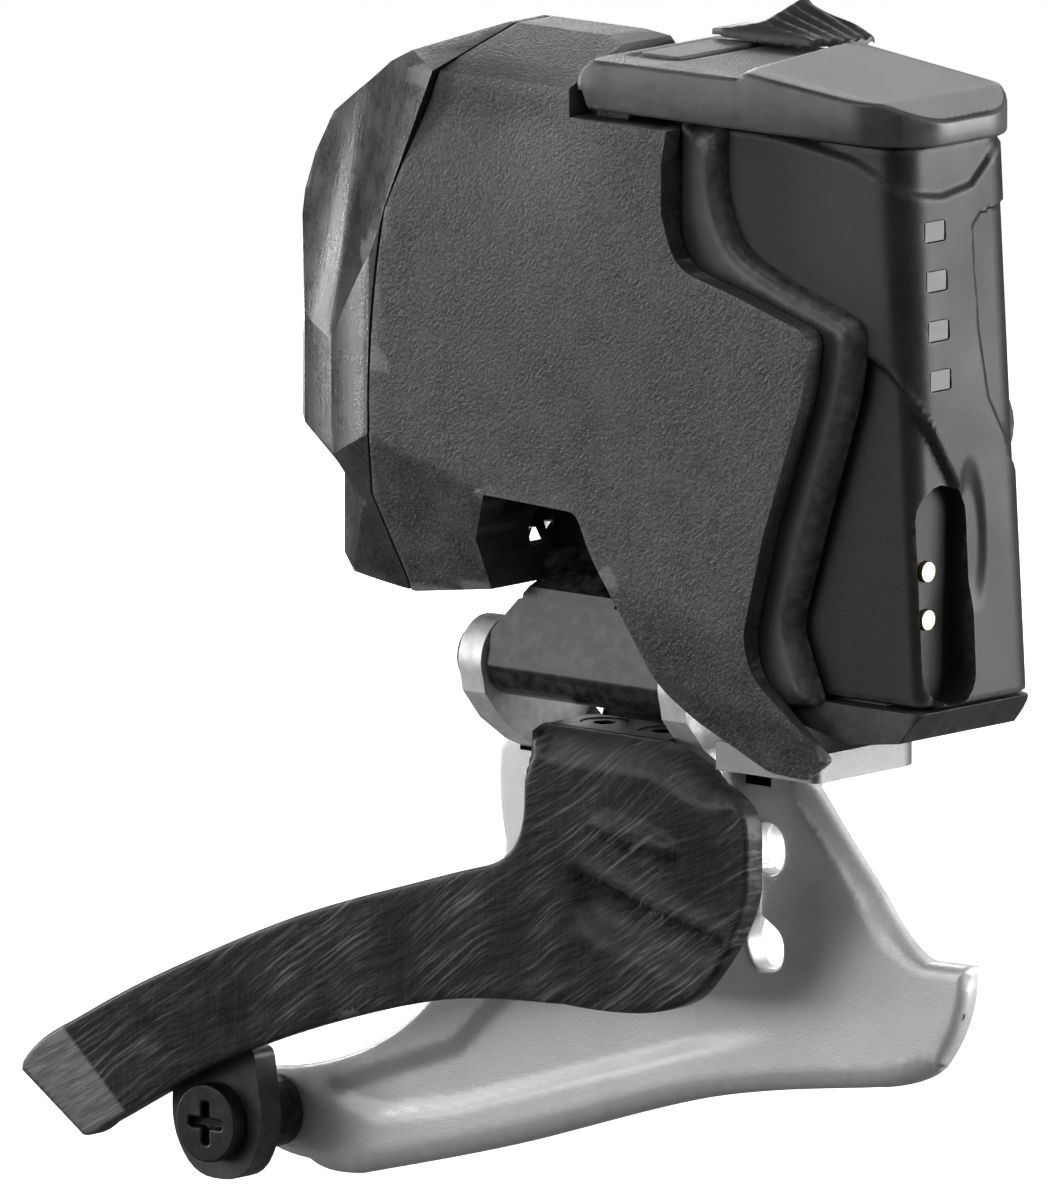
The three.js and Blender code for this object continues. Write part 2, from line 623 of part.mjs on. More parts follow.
function innerLink() {
  const range = [REAR_EAR[1] + 0.6, FRONT_WALL[0] - 0.2];
  const [uy, uz] = INNER_UPPER;
  const [ly, lz] = INNER_LOWER;
  let link = rod("x", INNER_UPPER, 3.6, range, 12).add(rod("x", INNER_LOWER, 3.3, range, 12));
  link = link.add(prism(outline([[ly - 1.8, lz + 1], [ly + 2.4, lz - 0.6], [uy + 2.2, uz - 1], [uy - 2.2, uz + 1]]),
    "x", range));
  link = link.subtract(box([58, 70], [15, 26], [23, 28]).intersect(box([0, 99], [0, 40], [0, 40])));
  link = link.subtract(rod("x", INNER_UPPER, PIN_R + PIN_FIT, [40, 90], 20));
  return link.subtract(rod("x", INNER_LOWER, PIN_R + OPEN_PIVOT_FIT, [40, 90], 20));
}

function idlerGear() {
  const halfPitch = Math.PI / SMALL_TEETH;
  const small = prism(gearOutline(IDLER_AXIS, SMALL_TEETH, halfPitch - Math.PI / 2), "x",
    [SECTOR_X[0], LARGE_X[0] + 0.2]);
  const large = prism(gearOutline(IDLER_AXIS, LARGE_TEETH, Math.PI / 2), "x", LARGE_X);
  return small.add(large).subtract(rod("x", IDLER_AXIS, 1.25, [50, 60]));
}

function motorPinion() {
  const halfPitch = Math.PI / MOTOR_TEETH;
  const gear = prism(gearOutline(MOTOR_AXIS, MOTOR_TEETH, halfPitch - Math.PI / 2), "x",
    [LARGE_X[0] - 0.2, LARGE_X[1] + 0.3]);
  return gear.subtract(rod("x", MOTOR_AXIS, 1, [50, 60]));
}

function motorShaft() {
  return rod("x", MOTOR_AXIS, 0.95, [55.6, 64.8]);
}

// ---- cage ---------------------------------------------------------------------------------

// Outer plate: a curved blade whose top turns inboard over the chain.
function outerCagePlate() {
  const blade = new THREE.Shape();
  blade.moveTo(0, -14.3);
  blade.lineTo(7.6, -19.5);
  blade.quadraticCurveTo(9.4, -19.4, 11, -18);
  blade.splineThru([[28.9, -8.7], [50.6, -1.8], [66.3, -0.2]].map((p) => new THREE.Vector2(...p)));
  blade.quadraticCurveTo(79.6, -0.8, 82.8, 3);
  blade.quadraticCurveTo(88.2, 9, 88.5, 13);
  blade.lineTo(88.5, 17.5);
  blade.quadraticCurveTo(88.4, 21.4, 84, 22);
  blade.quadraticCurveTo(79, 24.9, 75.7, 24.9);
  blade.lineTo(61.9, 24.9);
  blade.lineTo(61.7, 17.5);
  blade.quadraticCurveTo(61.4, 12.9, 57.3, 11.6);
  blade.splineThru([[50.6, 9.6], [34, 4.1], [16.5, -3.6], [6.3, -9]].map((p) => new THREE.Vector2(...p)));
  blade.quadraticCurveTo(1.6, -11.2, 0, -14.3);
  const flange = prism(outline([[61.9, 1], [75.7, 1], [75.7, 9.6, 1], [61.9, 9.6, 2]]), "z",
    [22.5, 24.9], 5);
  let plate = prism(blade, "y", [0, 2.5], 8).add(flange);
  for (const x of BRIDGE_SCREWS) {
    plate = plate.subtract(rod("z", [x, 7], 1.4, [15, 30])).subtract(rod("z", [x, 7], 2.25, [23.8, 30]));
  }
  return plate;
}

// Aluminium inner plate with the bridge and the two ears that carry the lower pivots.
function innerCagePlate() {
  const blade = new THREE.Shape();
  blade.moveTo(50, 11.6);
  blade.quadraticCurveTo(48.9, 16, 49.4, 20.4);
  blade.lineTo(51, 22.2);
  blade.lineTo(84.8, 22.2);
  blade.quadraticCurveTo(86, 20.4, 94.1, 11.3);
  blade.quadraticCurveTo(97.4, 6.6, 100, 6.1);
  blade.lineTo(104.9, 6.2);
  blade.quadraticCurveTo(105.2, 1, 101.3, -3.6);
  blade.quadraticCurveTo(98.4, -5.8, 92.9, -6.4);
  blade.splineThru([[73.6, -9.6], [49.5, -17], [31.4, -21.8]].map((p) => new THREE.Vector2(...p)));
  blade.quadraticCurveTo(27.6, -22.4, 25.4, -21.2);
  blade.quadraticCurveTo(17.6, -20.8, 17.8, -16.6);
  blade.quadraticCurveTo(18.2, -12.8, 24, -12.4);
  blade.quadraticCurveTo(38, -10, 44, 0);
  blade.quadraticCurveTo(49.6, 6, 50, 11.6);
  const bridge = box([62.3, FRONT_EAR[1]], [3.2, 13], [19.8, 22.2]);
  let plate = prism(blade, "y", [11, 13.5], 8).add(bridge);
  plate = plate.add(cageEar(REAR_EAR)).add(cageEar(FRONT_EAR));
  plate = plate.add(rod("x", INNER_LOWER, 3.3, [FRONT_EAR[0], 81.6], 14));
  // Keyhole window near the front: an upper hole, a narrow slot and a drop-shaped lower hole.
  plate = plate.subtract(prism(obround([81.5, 14.5], 1.9, 2.3), "y", [9, 15], 8));
  plate = plate.subtract(prism(outline([[79.7, 13], [80.6, 13], [80.6, 8.2], [83.6, 6.8, 1.4],
    [83.4, 3.6, 1.2], [80, 3.2, 1], [78.8, 5.6, 1], [79.7, 8.2]]), "y", [9, 15], 5));
  for (const x of BRIDGE_SCREWS) {
    plate = plate.subtract(rod("z", [x, 7], 1.1, [15, 30]));
  }
  plate = plate.subtract(rod("x", OUTER_LOWER, PIN_R + 0.03, [40, 90], 20));
  plate = plate.subtract(rod("x", INNER_LOWER, PIN_R + 0.03, [40, 90], 20));
  return plate.subtract(rod("y", TAIL, 1.45, [5, 20]));
}

function cageEar(range) {
  const [oy, oz] = OUTER_LOWER;
  const [iy, iz] = INNER_LOWER;
  const web = outline([
    [oy - 3.8, oz], [2.8, 26.8], [5.2, 24], [8.7, 21.6], [11, 20.6], [11, 12], [iy + 0.6, iz - 3.7],
    [iy + 2.6, iz + 2.6], [oy + 2.7, oz + 2.7],
  ]);
  const ends = rod("x", OUTER_LOWER, 3.8, range, 14).add(rod("x", INNER_LOWER, 3.8, range, 14));
  return ends.add(prism(web, "x", range));
}

function bridgeScrew(x) {
  return socketScrew("z", [x, 7], [23.85, 24.8], 2.1, [19, 24], 1, [24.2, 27]);
}

function lowerPin(centre, front) {
  return rod("x", centre, PIN_R, [REAR_EAR[0] - 1.2, front], 14);
}

// Lug behind the blade that carries the tail screw.
function tailLug() {
  const shape = outline([
    [17, -9.8, 1], [16.8, -18, 3], [19.6, -22, 2.4], [25.6, -22, 3], [28, -17, 3], [26.8, -9.4, 1],
  ]);
  return prism(shape, "y", [2.8, 5.6], 5).subtract(rod("y", TAIL, 1.7, [0, 9]));
}

function tailSpacer() {
  return rod("y", TAIL, 3.4, [5.9, 10.7], 12).subtract(rod("y", TAIL, 1.7, [0, 14]));
}

// Pan-head screw with a cross recess.
function tailScrew() {
  const [x, z] = TAIL;
  let screw = rod("y", TAIL, 3.65, [0.9, 2.6], 14).add(rod("y", TAIL, 1.4, [2, 14.4]));
  screw = screw.subtract(box([x - 2, x + 2], [0, 1.9], [z - 0.45, z + 0.45]));
  return screw.subtract(box([x - 0.45, x + 0.45], [0, 1.9], [z - 2, z + 2]));
}

// ---- assembly -----------------------------------------------------------------------------

const COMPOSITE = { color: 0x2b2c2e, roughness: 0.6, metalness: 0 };
const PLASTIC = { color: 0x303235, roughness: 0.5, metalness: 0 };
const DARK = { color: 0x1c1d1f, roughness: 0.5, metalness: 0 };
const GLOSS = { color: 0x0b0b0c, roughness: 0.18, metalness: 0 };
const CARBON = { color: 0x1b1c1e, roughness: 0.35, metalness: 0 };
const ALUMINIUM = { color: 0xb9bcc0, roughness: 0.42, metalness: 0.9 };
const STEEL = { color: 0x8f9398, roughness: 0.3, metalness: 1 };
const BLACK_STEEL = { color: 0x18191b, roughness: 0.4, metalness: 0.7 };
const BRASS = { color: 0xb58d3d, roughness: 0.35, metalness: 1 };
const RUBBER = { color: 0x101010, roughness: 0.9, metalness: 0 };
const BOARD = { color: 0x1c4a30, roughness: 0.6, metalness: 0 };
const CLEAR = { color: 0xc9ccd0, roughness: 0.3, metalness: 0 };
const CELL = { color: 0x8d9094, roughness: 0.5, metalness: 0.2 };

const assembly = new THREE.Group();
assembly.name = "front_derailleur";

function addPiece(name, solid, look) {
  const data = solid.getMesh();
  const geometry = new THREE.BufferGeometry();
  geometry.setAttribute("position", new THREE.BufferAttribute(new Float32Array(data.vertProperties), 3));
  geometry.setIndex(new THREE.BufferAttribute(new Uint32Array(data.triVerts), 1));
  geometry.translate(-SEAT_POINT[0], -SEAT_POINT[1], -SEAT_POINT[2]);
  geometry.computeVertexNormals();
  const mesh = new THREE.Mesh(geometry, new THREE.MeshStandardMaterial(look));
  mesh.name = name;
  assembly.add(mesh);
}

addPiece("main_cover", mainCover(), COMPOSITE);
addPiece("rear_cap", rearCap(), COMPOSITE);
addPiece("rear_cap_seal", rearCapSeal(), RUBBER);
addPiece("chassis", chassis(), ALUMINIUM);
addPiece("battery_frame", batteryFrame(), DARK);
addPiece("contact_block", contactBlock(), DARK);
addPiece("spring_contact_upper", springContact(54), BRASS);
addPiece("spring_contact_lower", springContact(50), BRASS);
addPiece("circuit_board", circuitBoard(), BOARD);
addPiece("gearbox_plate", gearboxPlate(), STEEL);
addPiece("motor_can", motorCan(), STEEL);
addPiece("idler_shaft", idlerShaft(), STEEL);
addPiece("outer_link_upper_pin", upperPin(OUTER_UPPER, 77.9), STEEL);
addPiece("inner_link_upper_pin", upperPin(INNER_UPPER, 79.3), STEEL);
addPiece("outer_link_upper_clip", clip(OUTER_UPPER, UPPER_CLIP), BLACK_STEEL);
addPiece("inner_link_upper_clip", clip(INNER_UPPER, UPPER_CLIP), BLACK_STEEL);
addPiece("mount_bolt", mountBolt(), BLACK_STEEL);
addPiece("mount_washer", mountWasher(), STEEL);
addPiece("support_screw", supportScrew(), BLACK_STEEL);
addPiece("cover_screw_rear", coverScrew(coverScrews.rear), BLACK_STEEL);
addPiece("cover_screw_front", coverScrew(coverScrews.front), BLACK_STEEL);
addPiece("lid_pin", lidPin(), STEEL);
addPiece("battery_shell", batteryShell(), PLASTIC);
addPiece("battery_end_cap", batteryEndCap(), PLASTIC);
addPiece("battery_cell", batteryCell(), CELL);
addPiece("battery_board", batteryBoard(), BOARD);
addPiece("charge_contact_upper", chargeContact(43.3), BRASS);
addPiece("charge_contact_lower", chargeContact(38.9), BRASS);
addPiece("light_guide", lightGuide(), CLEAR);
addPiece("battery_contact_plate", batteryContactPlate(), BRASS);
addPiece("latch_lid", latchLid(), PLASTIC);
addPiece("mode_key", modeKey(), PLASTIC);
addPiece("thumb_tab", thumbTab(), DARK);
addPiece("outer_link", outerLink(), GLOSS);
addPiece("sector_gear", sectorGear(), STEEL);
addPiece("inner_link", innerLink(), GLOSS);
addPiece("idler_gear", idlerGear(), BRASS);
addPiece("motor_pinion", motorPinion(), BRASS);
addPiece("motor_shaft", motorShaft(), STEEL);
addPiece("outer_cage_plate", outerCagePlate(), CARBON);
addPiece("inner_cage_plate", innerCagePlate(), ALUMINIUM);
addPiece("bridge_screw_rear", bridgeScrew(BRIDGE_SCREWS[0]), BLACK_STEEL);
addPiece("bridge_screw_front", bridgeScrew(BRIDGE_SCREWS[1]), BLACK_STEEL);
addPiece("outer_link_lower_pin", lowerPin(OUTER_LOWER, 80.4), STEEL);
addPiece("inner_link_lower_pin", lowerPin(INNER_LOWER, 82.2), STEEL);
addPiece("outer_link_lower_clip", clip(OUTER_LOWER, LOWER_CLIP), BLACK_STEEL);
addPiece("inner_link_lower_clip", clip(INNER_LOWER, LOWER_CLIP), BLACK_STEEL);
addPiece("tail_lug", tailLug(), DARK);
addPiece("tail_spacer", tailSpacer(), BLACK_STEEL);
addPiece("tail_screw", tailScrew(), BLACK_STEEL);

export default assembly;
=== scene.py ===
# Looks of the front derailleur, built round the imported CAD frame.
# Shapes are laid out in design millimetres: X from the tail tip of the outer cage plate to the
# front of the bicycle, Y inboard from the plate's outer face, Z up. in_metres() turns them into
# the record's own frame.
import contextlib
import json
import math

import bpy
import bmesh
import numpy as np
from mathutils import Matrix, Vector, geometry


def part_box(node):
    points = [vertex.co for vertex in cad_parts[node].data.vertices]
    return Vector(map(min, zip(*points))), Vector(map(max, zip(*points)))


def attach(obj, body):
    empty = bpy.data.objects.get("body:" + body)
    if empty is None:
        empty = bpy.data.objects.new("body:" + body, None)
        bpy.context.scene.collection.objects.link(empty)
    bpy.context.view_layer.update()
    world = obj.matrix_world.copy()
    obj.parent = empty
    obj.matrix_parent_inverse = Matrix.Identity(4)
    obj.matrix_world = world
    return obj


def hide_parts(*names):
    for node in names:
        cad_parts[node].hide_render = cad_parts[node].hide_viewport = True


MM = 0.001
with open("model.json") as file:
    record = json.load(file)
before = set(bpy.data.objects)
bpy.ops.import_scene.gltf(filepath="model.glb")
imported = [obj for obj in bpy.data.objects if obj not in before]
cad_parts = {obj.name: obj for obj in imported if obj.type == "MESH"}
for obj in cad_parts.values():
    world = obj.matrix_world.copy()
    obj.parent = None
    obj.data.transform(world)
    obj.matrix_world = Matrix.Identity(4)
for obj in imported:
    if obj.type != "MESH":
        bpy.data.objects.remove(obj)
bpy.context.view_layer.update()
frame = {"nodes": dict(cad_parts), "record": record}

PLATE_LOWEST = -19.5  # design Z of the outer plate's lowest point
plate_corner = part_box("outer_cage_plate")[0]
ORIGIN = np.array(plate_corner) - np.array((0.0, 0.0, PLATE_LOWEST * MM))


def in_metres(x, y, z):
    return Vector(ORIGIN + np.array((x, y, z)) * MM)


# ---- materials ----

COAT_ROUGHNESS = 0.3


class Graph:
    """Short names for building a node material."""

    def __init__(self, name):
        self.material = bpy.data.materials.new(name)
        self.material.use_nodes = True
        self.tree = self.material.node_tree
        self.shader = self.tree.nodes["Principled BSDF"]
        self.coords = self.add("ShaderNodeTexCoord").outputs["Object"]

    def put(self, socket, value):
        if isinstance(value, bpy.types.NodeSocket):
            self.tree.links.new(value, socket)
        else:
            socket.default_value = value

    def add(self, kind, inputs=(), **settings):
        """A node with its settings, and a value or link for each named input."""
        node = self.tree.nodes.new(kind)
        for key, value in settings.items():
            setattr(node, key, value)
        for key, value in dict(inputs).items():
            self.put(node.inputs[key], value)
        return node

    def noise_node(self, scale, detail=2.0, vector=None, rough=0.5):
        inputs = {"Vector": vector or self.coords, "Scale": scale, "Detail": detail, "Roughness": rough}
        return self.add("ShaderNodeTexNoise", inputs)

    def noise(self, scale, detail=2.0, vector=None, rough=0.5):
        return self.noise_node(scale, detail, vector, rough).outputs["Fac"]

    def streaks(self, scale, turn=0.0, detail=3, rough=0.6, source=None):
        """Noise in coordinates turned about Y, drawn out along the axes with a small scale."""
        inputs = {"Vector": source or self.coords, "Rotation": (0, turn, 0)}
        turned = self.add("ShaderNodeVectorRotate", inputs, rotation_type="EULER_XYZ").outputs[0]
        vector = self.add("ShaderNodeMapping", {"Vector": turned, "Scale": scale}).outputs[0]
        return self.noise(1, detail, vector, rough)

    def wavy(self, scale, amount):
        """Coordinates pushed about gently, for grain that is not perfectly straight."""
        inputs = {0: self.noise_node(scale).outputs["Color"], "Scale": amount}
        push = self.add("ShaderNodeVectorMath", inputs, operation="SCALE").outputs[0]
        return self.add("ShaderNodeVectorMath", {0: self.coords, 1: push}, operation="ADD").outputs[0]

    def spread(self, value, low, high, start=0.0, end=1.0):
        """The value mapped from low..high to start..end."""
        inputs = {"Value": value, "From Min": low, "From Max": high, "To Min": start, "To Max": end}
        return self.add("ShaderNodeMapRange", inputs).outputs["Result"]

    def math(self, operation, a, b):
        return self.add("ShaderNodeMath", {0: a, 1: b}, operation=operation).outputs[0]

    def weighted(self, *parts):
        """Sum of (value, weight) pairs."""
        terms = [self.math("MULTIPLY", value, weight) for value, weight in parts]
        total = terms[0]
        for term in terms[1:]:
            total = self.math("ADD", total, term)
        return total

    def mix(self, factor, a, b):
        inputs = {"Factor": factor, "A": a, "B": b}
        return self.add("ShaderNodeMix", inputs, data_type="RGBA").outputs["Result"]

    def edges(self, low, high):
        """1 on convex edges, 0 on flat surfaces."""
        return self.spread(self.add("ShaderNodeNewGeometry").outputs["Pointiness"], low, high)

    def worn(self, colour, amount, tone, low=0.51, high=0.56):
        """The colour with worn edges in another tone."""
        return self.mix(self.math("MULTIPLY", self.edges(low, high), amount), colour, tone)

    def bump(self, height, distance, normal=None):
        inputs = {"Strength": 1.0, "Distance": distance, "Height": height}
        if normal is not None:
            inputs["Normal"] = normal
        return self.add("ShaderNodeBump", inputs).outputs["Normal"]

    def finish(self, colour, roughness, metal, normal, coat=0.0, specular=0.5):
        inputs = {"Base Color": colour, "Roughness": roughness, "Metallic": metal, "Normal": normal,
                  "Coat Weight": coat, "Coat Roughness": COAT_ROUGHNESS, "Specular IOR Level": specular}
        for key, value in inputs.items():
            self.put(self.shader.inputs[key], value)
        return self.material


def grey(level, tint=0.0):
    """Linear grey with a slight cool tint."""
    return (level * (1 - tint), level, level * (1 + tint), 1.0)


def speckled(name, dark, light, roughness, grain_mm, depth_mm, metal=0.0, worn=None, coat=0.0,
             uneven=0.06, specular=0.5):
    """Moulded or blasted surface: fine grain, cloudy tone and roughness, lighter worn edges."""
    g = Graph(name)
    grain = g.noise(1 / (grain_mm * MM), 2)
    cloud = g.noise(120, 4, rough=0.6)
    tone = g.weighted((grain, 0.45), (cloud, 0.55))
    colour = g.mix(g.spread(tone, 0.35, 0.65), grey(dark), grey(light))
    if worn is not None:
        scuffs = g.spread(g.noise(900, 3), 0.35, 0.7)
        colour = g.worn(colour, scuffs, grey(worn))
    rough = g.spread(cloud, 0.3, 0.7, roughness - uneven, roughness + uneven)
    normal = g.bump(grain, depth_mm * MM)
    return g.finish(colour, rough, metal, normal, coat, specular)


def mottled_composite(name, dark, light, roughness=0.42, brushed_mm=0.0):
    """Short-fibre composite: fine leathery grain, cloudy patches and faint fibre strokes, or
    upright brush marks of a depth in millimetres instead of the grain."""
    g = Graph(name)
    cloud = g.noise(240, 6, rough=0.72)
    stroke_a = g.streaks((1500, 2200, 3600), 0.7, 2)
    stroke_b = g.streaks((3600, 2200, 1500), 0.6, 2)
    strokes = g.math("MAXIMUM", stroke_a, stroke_b)
    grain = g.noise(3600, 3, rough=0.6)
    tone = g.weighted((cloud, 0.36), (strokes, 0.28), (grain, 0.36))
    colour = g.mix(g.spread(tone, 0.43, 0.62), grey(dark), grey(light))
    colour = g.worn(colour, 0.55, grey(0.26), 0.505, 0.55)
    rough = g.spread(cloud, 0.3, 0.7, roughness - 0.07, roughness + 0.09)
    normal = g.bump(grain, 0.07 * MM, g.bump(strokes, 0.09 * MM))
    if brushed_mm > 0:
        lines = g.streaks((2600, 2600, 220))
        normal = g.bump(lines, brushed_mm * MM, g.bump(grain, 0.02 * MM))
    return g.finish(colour, rough, 0.0, normal)


BARE_LINE = ((6.0, -9.5), (12.4, -15.3))  # X, Z: the tail behind this line is bare


def bare_tail(g):
    """1 on the outboard face behind the slanting line near the tail, 0 elsewhere."""
    (x0, z0), (x1, z1) = BARE_LINE
    start = in_metres(x0, 0, z0)
    split = g.add("ShaderNodeSeparateXYZ", {"Vector": g.coords})
    behind = g.math("SUBTRACT", start.x, split.outputs["X"])
    above = g.math("SUBTRACT", split.outputs["Z"], start.z)
    behind = g.math("ADD", behind, g.math("MULTIPLY", above, (x1 - x0) / (z1 - z0)))
    outboard = g.spread(split.outputs["Y"], in_metres(0, 0.7, 0).y, in_metres(0, 0.4, 0).y)
    return g.math("MULTIPLY", g.spread(behind, 0.0, 0.6 * MM), outboard)


def streaked_carbon(name):
    """Lacquered laminate with long fibre bundles along the blade and a bare, scraped tail tip."""
    g = Graph(name)
    waves = g.wavy(70, 0.003)
    bundles = g.streaks((70, 300, 1500), 0.36, 5, 0.7, waves)
    fine = g.streaks((260, 800, 5200), 0.5, 3, 0.6, waves)
    strokes = g.streaks((95, 400, 3000), 0.62, 5, 0.75, waves)
    cross = g.streaks((300, 800, 2600), 1.5, 4, 0.65, waves)
    cloud = g.noise(110, 3)
    tone = g.weighted((bundles, 0.4), (fine, 0.3), (cross, 0.3))
    colour = g.mix(g.spread(tone, 0.45, 0.62), grey(0.003), grey(0.034))
    flecks = g.math("MULTIPLY", g.spread(strokes, 0.5, 0.72), g.spread(cloud, 0.4, 0.62))
    colour = g.mix(g.math("MULTIPLY", flecks, 0.95), colour, grey(0.26))
    scraped = g.mix(g.spread(fine, 0.4, 0.65), grey(0.12), grey(0.26))
    colour = g.mix(bare_tail(g), colour, scraped)
    colour = g.worn(colour, 0.6, grey(0.16), 0.51, 0.57)
    rough = g.spread(cloud, 0.3, 0.7, 0.26, 0.4)
    normal = g.bump(fine, 0.012 * MM, g.bump(bundles, 0.03 * MM))
    return g.finish(colour, rough, 0.0, normal, specular=0.2)


def marbled(name):
    """Polished composite with smoky lighter bands, for the side of the lid."""
    g = Graph(name)
    smoke = g.streaks((130, 130, 420), 0.2, 5, 0.66)
    grain = g.noise(4200, 2)
    tone = g.weighted((smoke, 0.85), (grain, 0.15))
    colour = g.mix(g.spread(tone, 0.42, 0.66), grey(0.012), grey(0.085))
    colour = g.worn(colour, 0.6, grey(0.22), 0.505, 0.55)
    rough = g.spread(smoke, 0.3, 0.7, 0.3, 0.45)
    return g.finish(colour, rough, 0.0, g.bump(grain, 0.008 * MM), 0.2)


def brushed(name, dark, light, roughness, direction, metal=1.0):
    """Turned or ground metal with scratches along one direction: 0, 1 or 2 for X, Y or Z."""
    g = Graph(name)
    scale = [5200, 5200, 5200]
    scale[direction] = 260
    lines = g.streaks(scale)
    cloud = g.noise(160, 3)
    colour = g.mix(g.spread(lines, 0.35, 0.65), grey(dark, 0.01), grey(light, 0.01))
    colour = g.worn(colour, 0.5, grey(min(1.0, light * 1.5)))
    rough = g.spread(cloud, 0.3, 0.7, roughness - 0.06, roughness + 0.08)
    return g.finish(colour, rough, metal, g.bump(lines, 0.008 * MM))


def tinted(name, dark, light, roughness, metal, transmission=0.0):
    """Coloured piece with grain, cloudy tone and scuffed edges."""
    g = Graph(name)
    grain = g.noise(2600, 3)
    cloud = g.noise(240, 4)
    colour = g.mix(g.spread(cloud, 0.35, 0.65), (*dark, 1.0), (*light, 1.0))
    edge = tuple(min(1.0, c * 1.6 + 0.02) for c in light)
    colour = g.worn(colour, 0.5, (*edge, 1.0))
    rough = g.spread(grain, 0.3, 0.7, roughness - 0.05, roughness + 0.08)
    g.shader.inputs["Transmission Weight"].default_value = transmission
    return g.finish(colour, rough, metal, g.bump(grain, 0.01 * MM))


MATERIALS = {
    "composite": mottled_composite("mottled_composite", 0.014, 0.092),
    "cap_composite": mottled_composite("brushed_composite", 0.014, 0.055, 0.27, 0.03),
    "plastic": speckled("satin_plastic", 0.018, 0.03, 0.42, 0.2, 0.012, worn=0.12, specular=0.36),
    "dark_plastic": speckled("dark_plastic", 0.02, 0.036, 0.4, 0.2, 0.012, worn=0.12),
    # frame_plastic is a lighter copy of the satin plastic: its paler tone is painted highlight for the
    # lit rounded rim of the battery's pocket frame
    "frame_plastic": speckled("frame_plastic", 0.045, 0.065, 0.34, 0.2, 0.012, worn=0.2),
    "gloss_black": speckled("gloss_black", 0.005, 0.007, 0.24, 0.3, 0.001, worn=0.06, uneven=0.012),
    "carbon": streaked_carbon("streaked_carbon"),
    "blasted_aluminium": speckled("blasted_aluminium", 0.72, 0.86, 0.38, 0.13, 0.035, 0.4, 1.0,
                                  uneven=0.025),
    "cast_aluminium": speckled("cast_aluminium", 0.25, 0.33, 0.42, 0.13, 0.03, 0.7, uneven=0.02),
    "steel": brushed("ground_steel", 0.35, 0.55, 0.3, 0),
    "black_steel": speckled("black_oxide", 0.012, 0.02, 0.38, 0.25, 0.01, 0.6, 0.06, uneven=0.02),
    "brass": tinted("gilded_brass", (0.4, 0.33, 0.22), (0.52, 0.44, 0.31), 0.32, 1.0),
    "rubber": speckled("seal_rubber", 0.008, 0.016, 0.8, 0.3, 0.02),
    "board": tinted("board_green", (0.008, 0.04, 0.018), (0.02, 0.08, 0.035), 0.45, 0.0),
    "clear": tinted("frosted_window", (0.12, 0.12, 0.12), (0.17, 0.17, 0.17), 0.4, 0.0, 0.15),
    "cell": brushed("cell_foil", 0.2, 0.34, 0.42, 2, 0.5),
    "marbled": marbled("marbled_composite"),
    "light_satin": speckled("light_satin", 0.2, 0.3, 0.36, 0.18, 0.012, worn=0.5),
    "contact_steel": brushed("contact_steel", 0.4, 0.6, 0.3, 1),
    "machined": brushed("machined_aluminium", 0.85, 1.0, 0.42, 1, 0.4),
}


# ---- mesh helpers ----

@contextlib.contextmanager
def editing(thing):
    """The object's mesh for bmesh operators, written back afterwards."""
    bm = bmesh.new()
    bm.from_mesh(thing.data)
    yield bm
    bm.to_mesh(thing.data)
    bm.free()


def add_object(name, data):
    thing = bpy.data.objects.new(name, data)
    bpy.context.scene.collection.objects.link(thing)
    return thing


def new_object(name, vertices_mm, faces):
    """A mesh from design-millimetre vertices."""
    mesh = bpy.data.meshes.new(name)
    metres = ORIGIN + np.asarray(vertices_mm, float) * MM
    mesh.from_pydata(metres.tolist(), [], faces)
    mesh.validate()
    return add_object(name, mesh)


def fix_normals(thing):
    with editing(thing) as bm:
        bmesh.ops.recalc_face_normals(bm, faces=bm.faces)


def smooth(thing, angle):
    """Smooth shading with sharp edges above an angle."""
    mesh = thing.data
    mesh.polygons.foreach_set("use_smooth", [True] * len(mesh.polygons))
    mesh.set_sharp_from_angle(angle=math.radians(angle))
    mesh.update()


def bake(thing):
    """Replaces the mesh by the result of its modifiers."""
    depsgraph = bpy.context.evaluated_depsgraph_get()
    depsgraph.update()
    mesh = bpy.data.meshes.new_from_object(thing.evaluated_get(depsgraph))
    old = thing.data
    thing.modifiers.clear()
    thing.data = mesh
    bpy.data.meshes.remove(old)


def combine(thing, other, operation, solver="EXACT"):
    """Joins, cuts or intersects with another object, which is used up."""
    modifier = thing.modifiers.new("combine", "BOOLEAN")
    modifier.operation = operation
    modifier.object = other
    modifier.solver = solver
    bake(thing)
    bpy.data.objects.remove(other)


def prism(points, axis, low, high):
    """A closed prism: the points lie across the axis, low and high along it."""
    place = {
        "x": lambda u, v, w: (w, u, v),
        "y": lambda u, v, w: (u, w, v),
        "z": lambda u, v, w: (u, v, w),
    }[axis]
    count = len(points)
    vertices = [place(u, v, low) for u, v in points] + [place(u, v, high) for u, v in points]
    sides = [(i, (i + 1) % count, (i + 1) % count + count, i + count) for i in range(count)]
    faces = [tuple(range(count)), tuple(range(count, 2 * count))] + sides
    thing = new_object("tool", vertices, faces)
    fix_normals(thing)
    return thing


def join(thing, other):
    """Adds the other object's mesh to the first one's."""
    with editing(thing) as bm:
        bm.from_mesh(other.data)
    bpy.data.objects.remove(other)


def rectangle(u_range, v_range):
    (u0, u1), (v0, v1) = u_range, v_range
    return [(u0, v0), (u1, v0), (u1, v1), (u0, v1)]


def cut(thing, outline, axis, low, high, solver="EXACT"):
    combine(thing, prism(outline, axis, low, high), "DIFFERENCE", solver)


def disc(centre, radius, count):
    turn = 2 * math.pi / count
    return [(centre[0] + radius * math.cos(i * turn), centre[1] + radius * math.sin(i * turn))
            for i in range(count)]


def obround(centre, half_width, half_length, count=10):
    straight = half_length - half_width
    points = []
    for end, start in ((1, 0.0), (-1, math.pi)):
        for i in range(count + 1):
            angle = start + math.pi * i / count
            points.append((centre[0] + half_width * math.cos(angle),
                           centre[1] + end * straight + half_width * math.sin(angle)))
    return points


